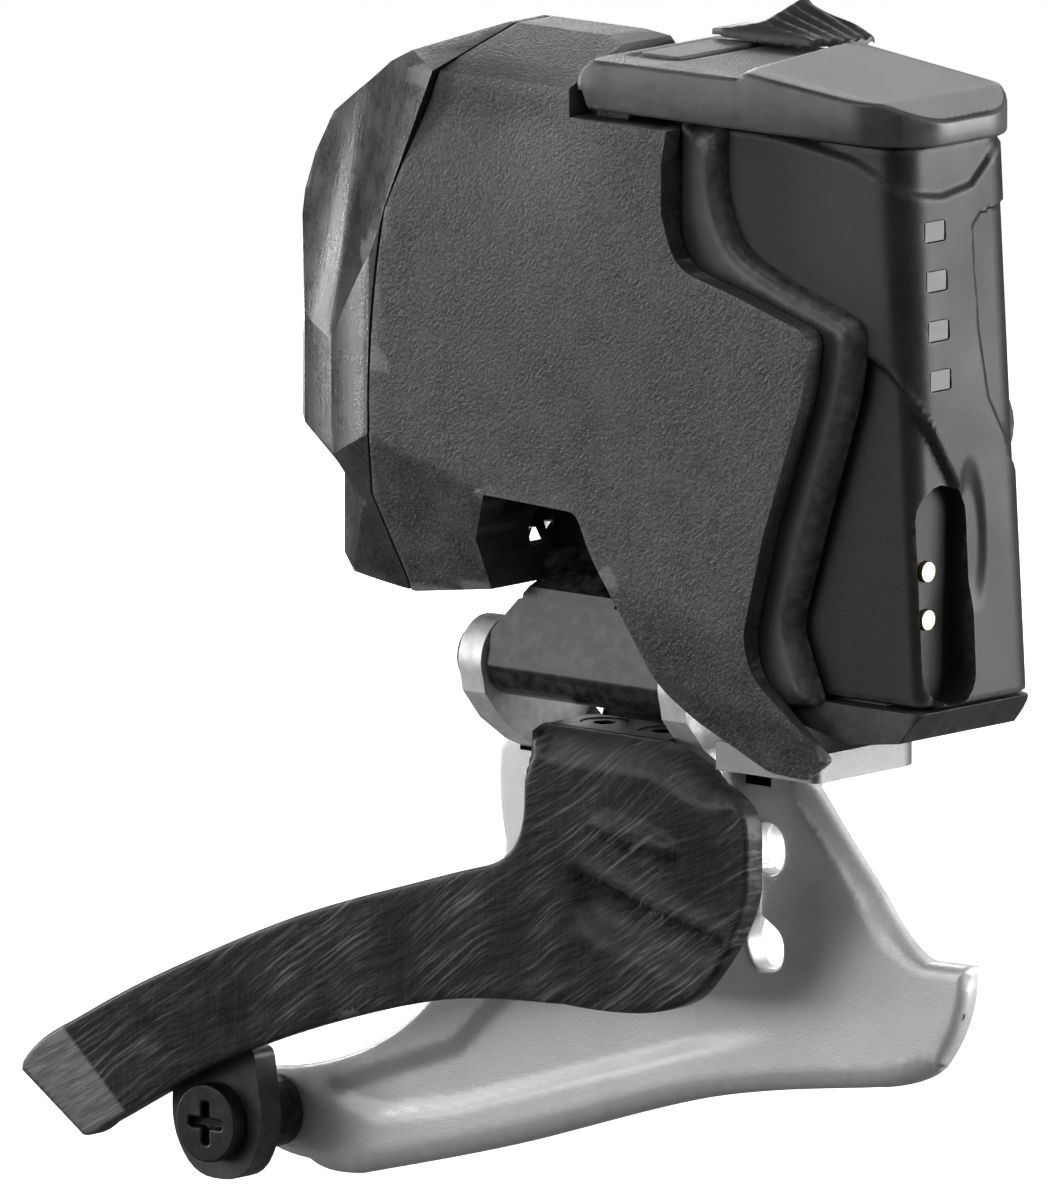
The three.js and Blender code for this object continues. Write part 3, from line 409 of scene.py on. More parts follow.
def quadratic(start, control, end, t):
    """Point at share t of a quadratic curve."""
    return (1 - t) ** 2 * start + 2 * t * (1 - t) * control + t * t * end


def rounded(points, radius, count=5):
    """Polygon with each corner replaced by a curve; a third value overrides the radius."""
    result = []
    total = len(points)
    for i, point in enumerate(points):
        corner = np.array(point[:2], float)
        before = np.array(points[i - 1][:2], float) - corner
        after = np.array(points[(i + 1) % total][:2], float) - corner
        lengths = [np.linalg.norm(side) for side in (before, after)]
        reach = min(point[2] if len(point) > 2 else radius, *(0.48 * length for length in lengths))
        if reach <= 0:
            result.append(tuple(corner))
            continue
        start = corner + before / lengths[0] * reach
        end = corner + after / lengths[1] * reach
        result.extend(tuple(quadratic(start, corner, end, k / count)) for k in range(count + 1))
    return result


def curve_path(steps, count=12):
    """Outline from ("M"|"L", point), ("Q", control, point) and ("S", [points]) steps."""
    points = []
    for step in steps:
        if step[0] in "ML":
            points.append(np.array(step[1], float))
        elif step[0] == "Q":
            start, control, end = points[-1], np.array(step[1], float), np.array(step[2], float)
            points.extend(quadratic(start, control, end, k / count) for k in range(1, count + 1))
        else:
            points.extend(spline(points[-1], step[1], count))
    return [tuple(p) for p in points]


def spline(start, through, count):
    """Catmull-Rom points from start through the given points."""
    knots = [np.array(start, float)] + [np.array(p, float) for p in through]
    points = []
    for i in range(len(knots) - 1):
        p0 = knots[max(i - 1, 0)]
        p1, p2 = knots[i], knots[i + 1]
        p3 = knots[min(i + 2, len(knots) - 1)]
        for k in range(1, count + 1):
            t = k / count
            points.append(0.5 * (2 * p1 + (p2 - p0) * t + (2 * p0 - 5 * p1 + 4 * p2 - p3) * t * t
                                 + (3 * p1 - p0 - 3 * p2 + p3) * t ** 3))
    return points


def resample(points, spacing):
    """Closed polyline with points about one spacing apart; sharp corners are kept."""
    result = []
    total = len(points)
    for i in range(total):
        a = np.array(points[i], float)
        b = np.array(points[(i + 1) % total], float)
        length = np.linalg.norm(b - a)
        if length < 1e-6:
            continue
        pieces = max(1, int(round(length / spacing)))
        for k in range(pieces):
            result.append(a + (b - a) * k / pieces)
    return np.array(result)


def signed_area(points):
    x, y = points[:, 0], points[:, 1]
    return 0.5 * float(np.sum(x * np.roll(y, -1) - np.roll(x, -1) * y))


def inward(points):
    """Unit vectors at each point of a closed loop that point to the left of its direction."""
    ahead = np.roll(points, -1, 0) - points
    behind = points - np.roll(points, 1, 0)
    ahead /= np.linalg.norm(ahead, axis=1)[:, None] + 1e-12
    behind /= np.linalg.norm(behind, axis=1)[:, None] + 1e-12
    along = ahead + behind
    along /= np.linalg.norm(along, axis=1)[:, None] + 1e-12
    return np.stack([-along[:, 1], along[:, 0]], 1)


def inside(points, loop):
    """Even-odd test of many points against one loop."""
    x, y = points[:, 0][:, None], points[:, 1][:, None]
    x1, y1 = loop[:, 0][None], loop[:, 1][None]
    x2, y2 = np.roll(loop[:, 0], -1)[None], np.roll(loop[:, 1], -1)[None]
    crosses = (y1 > y) != (y2 > y)
    crossing = (x2 - x1) * (y - y1) / (y2 - y1 + 1e-15) + x1
    return (np.sum(crosses & (x < crossing), axis=1) % 2) == 1


def distance_to(points, loop, closed=True):
    """Distance from each point to a polyline and the index of the nearest segment."""
    a = loop if closed else loop[:-1]
    b = np.roll(loop, -1, 0) if closed else loop[1:]
    best = np.full(len(points), 1e9)
    where = np.zeros(len(points), int)
    for start in range(0, len(points), 4000):
        block = points[start:start + 4000]
        d = (b - a)[None]
        rel = block[:, None] - a[None]
        t = np.clip(np.sum(rel * d, 2) / (np.sum(d * d, 2) + 1e-15), 0, 1)
        gap = np.linalg.norm(rel - t[..., None] * d, axis=2)
        where[start:start + 4000] = gap.argmin(1)
        best[start:start + 4000] = gap.min(1)
    return best, where


def ease(value, low, high):
    """0 below low, 1 above high, smooth between."""
    t = np.clip((value - low) / (high - low), 0, 1)
    return t * t * (3 - 2 * t)


def softplus(value, width):
    """The value where it is positive and 0 where it is negative, with a soft bend between."""
    return width * np.log1p(np.exp(np.clip(value / width, -30, 30)))


def at(value, line):
    """The line's second coordinate where its first one has this value."""
    return np.interp(value, *zip(*line))


def quarter_round(gap, radius):
    """Depth of a rounded edge at a distance from it."""
    t = np.clip(1 - gap / radius, 0, 1)
    return radius * (1 - np.sqrt(np.clip(1 - t * t, 0, 1)))


def flat_face(height):
    """A face for relief() at one height."""
    return lambda u, v: np.full_like(u, height)


RIM_STEPS = (0.0, 0.08, 0.3, 0.62, 1.0)  # ring distances as shares of the rim radius
ROW_DISTANCE = 0.866  # rows of a triangular grid, in steps
HOLE_SPACING = 0.7  # points round a hole are closer than round the outline
BACK_RIM = 0.45  # largest rounding of the back edge
THINNEST = 0.35  # least distance between the two faces


def plate_loops(outline, holes, spacing):
    """Evenly spaced loops, the outline anticlockwise and the holes clockwise."""
    loops = [resample(outline, spacing)] + [resample(h, spacing * HOLE_SPACING) for h in holes]
    for i, loop in enumerate(loops):
        if (signed_area(loop) > 0) != (i == 0):
            loops[i] = loop[::-1].copy()
    return loops


def on_plate(points, loops):
    keep = inside(points, loops[0])
    for hole in loops[1:]:
        keep &= ~inside(points, hole)
    return keep


def rim_at(points, loop, rim):
    """Distance of each point to a loop, and the rim radius where the loop is nearest."""
    gap, where = distance_to(points, loop)
    return gap, np.array([rim(*p) for p in loop])[where]


def rim_rings(loops, rim):
    """Points in rings along every loop, and the edges of the outermost ring of each."""
    points, edges = [], []
    for loop in loops:
        radii = np.array([rim(*p) for p in loop])
        normals = inward(loop)
        count = len(loop)
        start = len(points)
        edges.extend((start + k, start + (k + 1) % count) for k in range(count))
        for share in RIM_STEPS:
            points.extend((loop + normals * (radii * share)[:, None]).tolist())
    return points, edges


def inner_grid(loops, rim, step):
    """Triangular grid of points that keeps clear of the rims."""
    low, high = loops[0].min(0), loops[0].max(0)
    rows = np.arange(low[1], high[1], step * ROW_DISTANCE)
    grid = np.array([(u + (0.5 * step if r % 2 else 0), v) for r, v in enumerate(rows)
                     for u in np.arange(low[0], high[0], step)])
    grid = grid[on_plate(grid, loops)]
    for loop in loops:
        gap, radii = rim_at(grid, loop, rim)
        grid = grid[gap > radii + step * 0.3]
    return grid.tolist()


def triangulate(loops, rim, step):
    """Points and triangles that fill the plate."""
    points, edges = rim_rings(loops, rim)
    points.extend(inner_grid(loops, rim, step))
    flat = geometry.delaunay_2d_cdt([Vector(p) for p in points], edges, [], 0, 1e-5)
    uv = np.array([tuple(p) for p in flat[0]])
    triangles = np.array([f for f in flat[2] if len(f) == 3])
    triangles = triangles[on_plate(uv[triangles].mean(1), loops)]
    used = np.unique(triangles)
    index = np.full(len(uv), -1)
    index[used] = np.arange(len(used))
    return uv[used], index[triangles]


def closed_faces(triangles, count):
    """Faces of the front, of the back and of the walls between them."""
    triangles = triangles.tolist()
    faces = [tuple(t) for t in triangles]
    faces += [(c + count, b + count, a + count) for a, b, c in triangles]
    sides = {}
    for a, b, c in triangles:
        sides.update({(a, b): True, (b, c): True, (c, a): True})
    faces += [(b, a, a + count, b + count) for a, b in sides if (b, a) not in sides]
    return faces


def relief(name, outline, holes, front, back, rim, step, spacing):
    """A plate across Y: front(u, v) and back(u, v) give its two faces, rim(u, v) the radius of
    its rounded edge. The outline and holes are [X, Z] in design millimetres; step is the size of
    the triangles and spacing that of the edges along the outline."""
    loops = plate_loops(outline, holes, spacing)
    uv, triangles = triangulate(loops, rim, step)
    roll = np.zeros(len(uv))
    for loop in loops:
        roll = np.maximum(roll, quarter_round(*rim_at(uv, loop, rim)))
    y_front = front(uv[:, 0], uv[:, 1]) + roll
    y_back = back(uv[:, 0], uv[:, 1]) - np.minimum(roll, BACK_RIM)
    y_back = np.maximum(y_back, y_front + THINNEST)
    vertices = np.concatenate([np.stack([uv[:, 0], y, uv[:, 1]], 1) for y in (y_front, y_back)])
    thing = new_object(name, vertices, closed_faces(triangles, len(uv)))
    fix_normals(thing)
    smooth(thing, 50)
    return thing


FLAT_ANGLE = math.radians(1)  # faces that meet at less than this are merged


def from_cad(node, name, bevel=0.0, segments=3, angle=30):
    """A copy of a CAD node with coplanar triangles merged and, given a bevel, rounded edges."""
    thing = add_object(name, frame["nodes"][node].data.copy())
    with editing(thing) as bm:
        bmesh.ops.remove_doubles(bm, verts=bm.verts, dist=0.002 * MM)
        bmesh.ops.dissolve_limit(bm, angle_limit=FLAT_ANGLE, verts=bm.verts, edges=bm.edges)
        bmesh.ops.recalc_face_normals(bm, faces=bm.faces)
    thing.data.materials.clear()
    if bevel > 0:
        round_edges(thing, bevel, segments, angle)
    return thing


def grid_cut(thing, x_range, z_range, step):
    """Adds edges on a regular X-Z grid, so that flat faces can be given a gentle shape."""
    thing.modifiers.clear()
    with editing(thing) as bm:
        for axis, (low, high) in ((0, x_range), (2, z_range)):
            for value in np.arange(low, high, step):
                normal = [0.0, 0.0, 0.0]
                normal[axis] = 1.0
                point = ORIGIN.copy()
                point[axis] += value * MM
                geom = bm.verts[:] + bm.edges[:] + bm.faces[:]
                bmesh.ops.bisect_plane(bm, geom=geom, dist=1e-7, plane_co=point, plane_no=normal)
    smooth(thing, 30)


def local_points(thing):
    """Vertex positions in design millimetres."""
    points = np.zeros(len(thing.data.vertices) * 3)
    thing.data.vertices.foreach_get("co", points)
    return (points.reshape(-1, 3) - ORIGIN) / MM


def set_local_points(thing, local):
    thing.data.vertices.foreach_set("co", (ORIGIN + local * MM).ravel())
    thing.data.update()


def displace(thing, shift):
    """Moves vertices along Y by shift(x, y, z), in millimetres."""
    local = local_points(thing)
    local[:, 1] += shift(*local.T)
    set_local_points(thing, local)


def add_bevel(thing, width, segments, angle):
    modifier = thing.modifiers.new("edges", "BEVEL")
    modifier.width = width * MM
    modifier.segments = segments
    modifier.limit_method = "ANGLE"
    modifier.angle_limit = math.radians(angle)
    return modifier


def round_edges(thing, bevel, segments=3, angle=30):
    add_bevel(thing, bevel, segments, angle).miter_outer = "MITER_ARC"
    bake(thing)
    smooth(thing, 40)
    weighted = thing.modifiers.new("normals", "WEIGHTED_NORMAL")
    weighted.keep_sharp = True


def dress(thing, body, material, node):
    """Material, body and the CAD node the piece stands for."""
    thing.data.materials.clear()
    thing.data.materials.append(MATERIALS[material])
    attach(thing, body)
    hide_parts(node)


# CAD nodes that keep their own shape, with rounder edges: piece, body, material, record slot,
# and the bevel's width, segments and least angle.
SOFT_NODES = {
    "battery_end_cap": ("battery_end_cap_shell", "battery", "dark_plastic", "plastic", 0.6, 4, 20),
    "mode_key": ("mode_key_cap", "key", "composite", "plastic", 0.2, 3, 30),
    "outer_link": ("outer_link_arm", "outer_link", "gloss_black", "gloss_black", 0.5, 4, 20),
    "inner_link": ("inner_link_arm", "inner_link", "gloss_black", "gloss_black", 0.4, 3, 26),
    "tail_lug": ("tail_lug_block", "cage", "dark_plastic", "dark_plastic", 0.5, 4, 26),
    "tail_screw": ("tail_screw_head", "cage", "black_steel", "black_steel", 0.3, 4, 30),
}


def soft_copies():
    for node, (name, body, material, slot, *bevel) in SOFT_NODES.items():
        dress(from_cad(node, name, *bevel), body, material, node)


# ---- root body ----

FRAME_OUTLINE = rounded([
    (80.4, 82.2, 0), (80.4, 36, 0), (84, 31.5), (88, 29.5), (96.3, 30.5), (94.8, 34, 1.5),
    (93.4, 37.5, 1.5), (96, 46, 3), (100.6, 60, 3), (101.2, 66, 2), (92, 69, 2), (86.4, 71.5, 3),
    (84.6, 76, 2), (84.6, 82.2, 0),
], 1.0)
COVER_CREASE = [(45, 74.6), (61, 70.8), (90, 66)]  # X, Z
COVER_LEG = [(70, 39.5), (73.5, 38.8), (88.4, 36.4), (95, 35)]


def cover_relief(x, y, z):
    """Inward shift of the cover's outboard skin: soft creases between nearly flat fields."""
    above = softplus(z - at(x, COVER_CREASE), 1.2)
    back = 0.13 * above * (1 - ease(x, 58, 74)) * (1 - 0.4 * ease(z, 80, 84))
    lean = 0.15 * softplus(at(x, COVER_LEG) - z, 0.5) * ease(x, 68, 71)
    bulge = 0.22 * np.exp(-((x - 68) / 14) ** 2 - ((z - 60) / 9) ** 2)
    return (back + lean - bulge) * np.clip((0.4 - y) / 2.4, 0, 1)


CAP_SIDE = -0.6  # Y of the cap's outboard face
CAP_BEND, CAP_CORNER = 45, 38.4  # X where the curve starts, and where the CAD face turns inboard


def cap_relief(x, y, z):
    """Turns the flat outboard face of the rear cap into a gentle curve towards the back."""
    bent = CAP_SIDE + 0.0223 * np.clip(CAP_BEND - x, 0, 11.6) ** 2
    straight = CAP_SIDE + 0.6 * np.clip(CAP_CORNER - x, 0, 5)
    return np.clip(bent - straight, 0, 1) * np.clip((5 - y) / 4, 0, 1)


def cover_shell():
    cover = from_cad("main_cover", "cover_shell", 0.55, 4, 20)
    grid_cut(cover, (40, 100), (22, 90), 1.3)
    displace(cover, cover_relief)
    dress(cover, "body", "composite", "main_cover")


def rear_cap_shell():
    cap = from_cad("rear_cap", "rear_cap_shell", 1.3, 6, 8)
    grid_cut(cap, (27, 47), (32, 90), 1.2)
    displace(cap, cap_relief)
    dress(cap, "body", "cap_composite", "rear_cap")


TRIM_FACES = (0.3, 1.6)  # Y of the outboard trim of the battery's pocket frame


def frame_rim(x, z):
    """Broad where the trim shows, narrow along its rear edge."""
    return 1.6 if x > 81.2 else 0.3


def battery_frame_shell():
    outer, inner = TRIM_FACES
    trim = relief("battery_frame_shell", FRAME_OUTLINE, [], flat_face(outer), flat_face(inner),
                  frame_rim, 0.8, 0.5)
    rest = from_cad("battery_frame", "frame_rest")
    combine(rest, prism(rectangle((70, 120), (20, 90)), "y", inner, 30), "INTERSECT")
    round_edges(rest, 0.3)
    bake(rest)
    join(trim, rest)
    smooth(trim, 45)
    # The trim's lighter plastic is painted highlight for its lit rim.
    dress(trim, "body", "frame_plastic", "battery_frame")


def chassis_shell():
    chassis = from_cad("chassis", "chassis_shell", 0.35, 3, 30)
    # Web between the two lugs of the rear wall.
    web = [(13, 44), (16.5, 38.4), (21.5, 38.4), (21.5, 49.5), (13, 49.5)]
    join(chassis, prism(web, "x", 49.8, 51.9))
    dress(chassis, "body", "cast_aluminium", "chassis")


# ---- battery ----

BATTERY_LOW, BATTERY_HIGH = 31.2, 82.1
BATTERY_BACK, BATTERY_FRONT = 82.9, 108.0
BATTERY_OUT, BATTERY_IN = 1.9, 18.0
BATTERY_ROWS = 190
SLOT_CENTRE = (6.3, 41.2)  # Y, Z of the charge slot
SLOT_HALF_WIDTH, SLOT_HALF_LENGTH = 2.9, 10
SLOT_FLOOR, CONTACT_FLOOR, WINDOW_FLOOR = 104.8, 103.9, 104.6  # X
CONTACT_Y = 5.6
CONTACT_HEIGHTS = (43.3, 38.9)
WINDOW_Y = (4.45, 7.35)
WINDOW_HEIGHTS = (60.9, 65.4, 69.9, 74.4)


def battery_front(z):
    return BATTERY_FRONT - 2.6 * np.clip((z - 31.5) / 50.6, 0, 1)


def straight(start, end, count):
    """Points from start up to, but not including, end."""
    (x0, y0), (x1, y1) = start, end
    return [(x0 + (x1 - x0) * i / count, y0 + (y1 - y0) * i / count) for i in range(count)]


def quarter(centre, radius, start, count):
    """Points on a quarter of a circle, anticlockwise from the start angle."""
    angles = [start + math.pi / 2 * i / count for i in range(count)]
    return [(centre[0] + radius * math.cos(a), centre[1] + radius * math.sin(a)) for a in angles]


def battery_ring(z):
    """X, Y of the plan section at height z, with round corners in front."""
    front = battery_front(z)
    share = (z - 31) / 51
    r_out, r_in = 2.6 + 0.9 * share, 3.2 + share
    corner_out = (front - r_out, BATTERY_OUT + r_out)
    corner_in = (front - r_in, BATTERY_IN - r_in)
    return (straight((BATTERY_BACK, BATTERY_OUT), (corner_out[0], BATTERY_OUT), 46)
            + quarter(corner_out, r_out, -math.pi / 2, 10)
            + straight((front, corner_out[1]), (front, corner_in[1]), 40)
            + quarter(corner_in, r_in, 0, 10)
            + straight((corner_in[0], BATTERY_IN), (BATTERY_BACK, BATTERY_IN), 46)
            + straight((BATTERY_BACK, BATTERY_IN), (BATTERY_BACK, BATTERY_OUT), 12))


# Lines on the battery's skin. The first two give a height over the distance along the surface
# round the outboard front corner; SCOOP_END gives that distance over the height.
ARC_LINE = [(85.0, 66.5), (95.0, 65.0), (100.2, 63.5), (103.5, 62.0), (106.5, 59.6), (109.5, 56.5),
            (112.5, 52.0)]
ARCH_LINE = [(84.0, 82.1), (90.0, 81.9), (99.1, 80.6), (104.2, 78.7), (107.0, 77.8), (111.0, 77.3),
             (115.0, 77.9), (119.0, 81.3), (121.0, 82.1), (140.0, 82.1)]
SCOOP_END = [(31, 110.5), (36, 111.5), (47, 113.6), (52, 112.5), (56.5, 109.5)]
# Y of the panel's outboard edge over the height.
PANEL_EDGE = [(50, 18), (52.5, 15.7), (58.6, 12.4), (64.9, 11.4), (74.2, 11.0), (75.3, 12.2),
              (76.2, 18)]


def scoop(x, y, z, along):
    """Scooped lower part in front of the cover's leg."""
    share = ease(at(along, ARC_LINE) - z, -0.1, 0.9) * ease(along, 84, 98)
    outboard = (y < 14.5) & (x > BATTERY_BACK + 0.01)
    return share * (ease(at(z, SCOOP_END) - along, -0.4, 0.5) * outboard)


def neck(y, z, along):
    """Neck under the lid, bounded by an arch."""
    return ease(z - at(along, ARCH_LINE), -0.3, 0.5) * (y < 17.5)


def panel(x, y, z):
    """Shallow panel on the inboard half of the front."""
    within = (z > 50) & (z < 76.2) & (x > 100)
    return ease(y - at(z, PANEL_EDGE), -0.15, 0.25) * within


def thumb_hollow(x, y, z):
    """Hollow along the inboard rim of the charge slot."""
    gap = np.hypot((y - 9.4) / 2.2, (z - 46.5) / 7.5)
    return ease(1 - gap, 0, 0.5) * ((x > 104) & (y > 5))


def battery_depth(x, y, z):
    """How deep the skin lies inside the plain section."""
    along = x + np.maximum(0, y - BATTERY_OUT)
    depth = 0.95 * scoop(x, y, z, along) + 0.45 * neck(y, z, along)
    depth += 0.28 * panel(x, y, z) + 0.5 * thumb_hollow(x, y, z)
    for rim in (BATTERY_HIGH, BATTERY_LOW):
        depth += quarter_round(np.abs(z - rim), 0.5)
    return depth


def battery_rings():
    """Points of the plain section: one ring for each height."""
    heights = np.linspace(BATTERY_LOW + 0.25, BATTERY_HIGH - 0.25, BATTERY_ROWS)
    return np.array([[(x, y, z) for x, y in battery_ring(z)]
                     for z in (BATTERY_LOW, *heights, BATTERY_HIGH)])


def ring_normals(rings):
    """Outward direction in plan of each point, from its neighbours in the ring."""
    centre = np.array(((BATTERY_BACK + BATTERY_FRONT) / 2, (BATTERY_OUT + BATTERY_IN) / 2))
    ahead = np.roll(rings, -1, 1)[..., :2] - np.roll(rings, 1, 1)[..., :2]
    normal = np.stack([ahead[..., 1], -ahead[..., 0]], -1)
    normal /= np.linalg.norm(normal, axis=-1)[..., None]
    return normal * np.sign(np.sum(normal * (rings[..., :2] - centre), -1))[..., None]


def ring_faces(rows, columns):
    """Faces between rows of points in rings, and the two ends."""
    faces = []
    for low in range(0, (rows - 1) * columns, columns):
        high = low + columns
        for c in range(columns):
            d = (c + 1) % columns
            faces.append((low + c, low + d, high + d, high + c))
    top = (rows - 1) * columns
    return faces + [tuple(range(columns)), tuple(range(top, top + columns))]


def battery_shell():
    rings = battery_rings()
    rings[..., :2] -= ring_normals(rings) * battery_depth(*np.moveaxis(rings, -1, 0))[..., None]
    shell = new_object("battery_body", rings.reshape(-1, 3), ring_faces(*rings.shape[:2]))
    fix_normals(shell)
    openings = [(obround(SLOT_CENTRE, SLOT_HALF_WIDTH, SLOT_HALF_LENGTH), SLOT_FLOOR)]
    openings += [(disc((CONTACT_Y, z), 1.0, 24), CONTACT_FLOOR) for z in CONTACT_HEIGHTS]
    for z in WINDOW_HEIGHTS:
        openings.append((rounded(rectangle(WINDOW_Y, (z - 1, z + 1)), 0.45), WINDOW_FLOOR))
    # Only this solver copes with the dense shell.
    for outline, bottom in openings:
        cut(shell, outline, "x", bottom, BATTERY_FRONT + 4, "MANIFOLD")
    smooth(shell, 38)
    dress(shell, "battery", "plastic", "battery_shell")


# ---- lid ----

LID_PIVOT = (71.8, 84.6)  # X, Z
LID_PLAN = rounded([
    (68.9, -1.0, 0.6), (86, -1.2), (103.5, -0.8, 3), (108, 3.4, 2.5), (108, 13.4, 2.4),
    (104.5, 17.2, 2.4), (86, 18.2), (68.9, 17.9, 0.6),
], 1.0)
KNUCKLES = ((0.8, 3.0), (14.2, 16.4))  # Y ranges of the cover's hinge posts
KEY_CENTRE = (75.1, 8.7)  # X, Y
GROOVE_HALF_SIZE = (2.75, 6.0)
GROOVE_CORNER, GROOVE_DEPTH, GROOVE_WIDTH = 0.8, 0.35, 0.32
STEP_FOOT = ((88.6, -1.2), (83.6, 18.2))  # line where the rear top starts to rise
STEP_CREST = ((89.0, -1.2), (86.4, 18.2))  # line where the front plateau starts


def line_x(line, y):
    (x0, y0), (x1, y1) = line
    return x0 + (x1 - x0) * (y - y0) / (y1 - y0)


REAR_TOP, REAR_SLOPE = 87.35, 0.012
PLATEAU_TOP, PLATEAU_SLOPE = 88.25, 0.108
NOSE_START, NOSE_SLOPE = 104.2, 0.35  # from this X on, the plateau drops further
LID_ROUND = 2.9  # radius of the rear end about the pivot
LID_SHOULDERS = (0.4, 16.4)  # Y beyond which the surface falls off a little


def lid_top(x, y):
    """Height of the lid's upper surface."""
    pivot_x, pivot_z = LID_PIVOT
    rear = REAR_TOP + REAR_SLOPE * (x - pivot_x)
    arc = pivot_z + np.sqrt(np.clip(LID_ROUND ** 2 - (pivot_x - x) ** 2, 0, None))
    rear = np.where(x < pivot_x, np.minimum(rear, arc), rear)
    plateau = PLATEAU_TOP - PLATEAU_SLOPE * (x - 88) - NOSE_SLOPE * np.clip(x - NOSE_START, 0, None)
    foot, crest = line_x(STEP_FOOT, y), line_x(STEP_CREST, y)
    height = rear + (plateau - rear) * np.clip((x - foot) / (crest - foot), 0, 1)
    side = np.maximum(0, LID_SHOULDERS[0] - y) + np.maximum(0, y - LID_SHOULDERS[1])
    return height - 0.16 * side


def lid_top_with_groove(x, y):
    """The upper surface with a rounded groove round the key."""
    u = np.abs(x - KEY_CENTRE[0]) - GROOVE_HALF_SIZE[0] + GROOVE_CORNER
    v = np.abs(y - KEY_CENTRE[1]) - GROOVE_HALF_SIZE[1] + GROOVE_CORNER
    gap = np.hypot(np.maximum(u, 0), np.maximum(v, 0)) + np.minimum(np.maximum(u, v), 0) - GROOVE_CORNER
    return lid_top(x, y) - GROOVE_DEPTH * np.exp(-(gap / GROOVE_WIDTH) ** 2)


def lid_underside(x, y):
    return -82.6 + 0.15 * np.clip((x - 100) / 8, 0, 1)


def upright(thing):
    """Turns a relief built across Y into one across Z: (X, Y, Z) becomes (X, Z, -Y)."""
    x, y, z = local_points(thing).T
    set_local_points(thing, np.stack([x, z, -y], 1))
    fix_normals(thing)


def add_tone(thing, material, test):
    """Gives a further material to the faces of the first one that pass test(centre, normal)."""
    thing.data.materials.append(MATERIALS[material])
    index = len(thing.data.materials) - 1
    for face in thing.data.polygons:
        centre = (np.array(face.center) - ORIGIN) / MM
        if face.material_index == 0 and test(centre, face.normal):
            face.material_index = index


def on_plateau(centre, normal):
    x, y, z = centre
    return normal.z > 0.9 and x > line_x(STEP_CREST, y) - 0.1 and z > 85


def on_rear_top(centre, normal):
    x, y, z = centre
    return normal.z > 0.7 and x <= line_x(STEP_CREST, y) and z > 86


def cut_hinge(lid):
    """Room for the posts, the pin and the rear corner's swing past the cover."""
    x, z = LID_PIVOT
    post = [(60, 80), (74.1, 80), (74.1, 84.75), (x, 84.75), (70.8, 86.55), (68.1, 85.05), (60, 85.05)]
    for low, high in KNUCKLES:
        cut(lid, post, "y", low - 0.3, high + 0.3)
        cut(lid, disc(LID_PIVOT, 2.15, 28), "y", low - 0.3, high + 0.3)
    rear_corner = [(60, 80), (70.6, 80), (70.4, 82.8), (69.7, 84.3), (60, 84.3)]
    cut(lid, rear_corner, "y", -5, 25)


def lid_shell():
    lid = relief("lid_shell", LID_PLAN, [], lambda x, y: -lid_top_with_groove(x, y), lid_underside,
                 lambda x, y: 0.4, 0.5, 0.45)
    upright(lid)
    cut(lid, rectangle((76, 104), (1.2, 16)), "z", 80, 84.6)
    cut_hinge(lid)
    # Slot for the thumb tab's foot, and the bore for the hinge pin.
    cut(lid, rectangle((75, 80), (14.9, 17.1)), "z", 80, 87)
    cut(lid, disc(LID_PIVOT, 0.95, 24), "y", -0.5, 20)
    smooth(lid, 34)
    dress(lid, "lid", "marbled", "latch_lid")
    add_tone(lid, "light_satin", on_plateau)
    add_tone(lid, "composite", on_rear_top)


TAB_PLAN = rounded([
    (72.4, 13.7, 0.4), (74.4, 13.2, 0.5), (85.0, 13.4, 0.8), (86.9, 16.4, 0.8), (86.9, 20.0, 0.8),
    (77.5, 20.2, 0.6), (72.6, 19.0, 0.6),
], 0.6)
TAB_REAR, TAB_RIDGE, TAB_FRONT = 72.6, 78.4, 86.8  # X
RIB_START, RIB_PITCH = 78.2, 1.35


def tab_top(x, y):
    """Height of the tab: a ridge across it, bowed ribs in front and a slope to the outboard side."""
    ridge = 89.7 + 0.3 * np.clip(y - 14.4, 0, 5.4)
    up = np.clip((x - TAB_REAR) / (TAB_RIDGE - TAB_REAR), 0, 1)
    down = np.clip((x - TAB_RIDGE) / (TAB_FRONT - TAB_RIDGE), 0, 1)
    rear = 88.55 + (ridge - 88.55) * up ** 1.3
    front = ridge - (ridge - 88.75) * down ** 0.8
    height = np.where(x < TAB_RIDGE, rear, front)
    bow = 0.02 * (x - 78) ** 2
    ribs = 0.5 + 0.5 * np.cos(2 * math.pi * (y + bow - 14.6) / RIB_PITCH)
    ribbed = height - 0.32 * ribs * ease(x, RIB_START, RIB_START + 1)
    height = np.where(x > RIB_START, ribbed, height)
    return np.minimum(height, 88.5 + 1.1 * (y - 13.2))


def thumb_tab():
    tab = relief("thumb_tab_grip", TAB_PLAN, [], lambda x, y: -tab_top(x, y), flat_face(-88.05),
                 lambda x, y: 0.25, 0.3, 0.35)
    upright(tab)
    foot = rounded(rectangle((76.8, 79.7), (15.2, 16.8)), 0.3)
    join(tab, prism(foot, "z", 85.2, 88.3))
    smooth(tab, 40)
    dress(tab, "tab", "dark_plastic", "thumb_tab")


# ---- cage ----

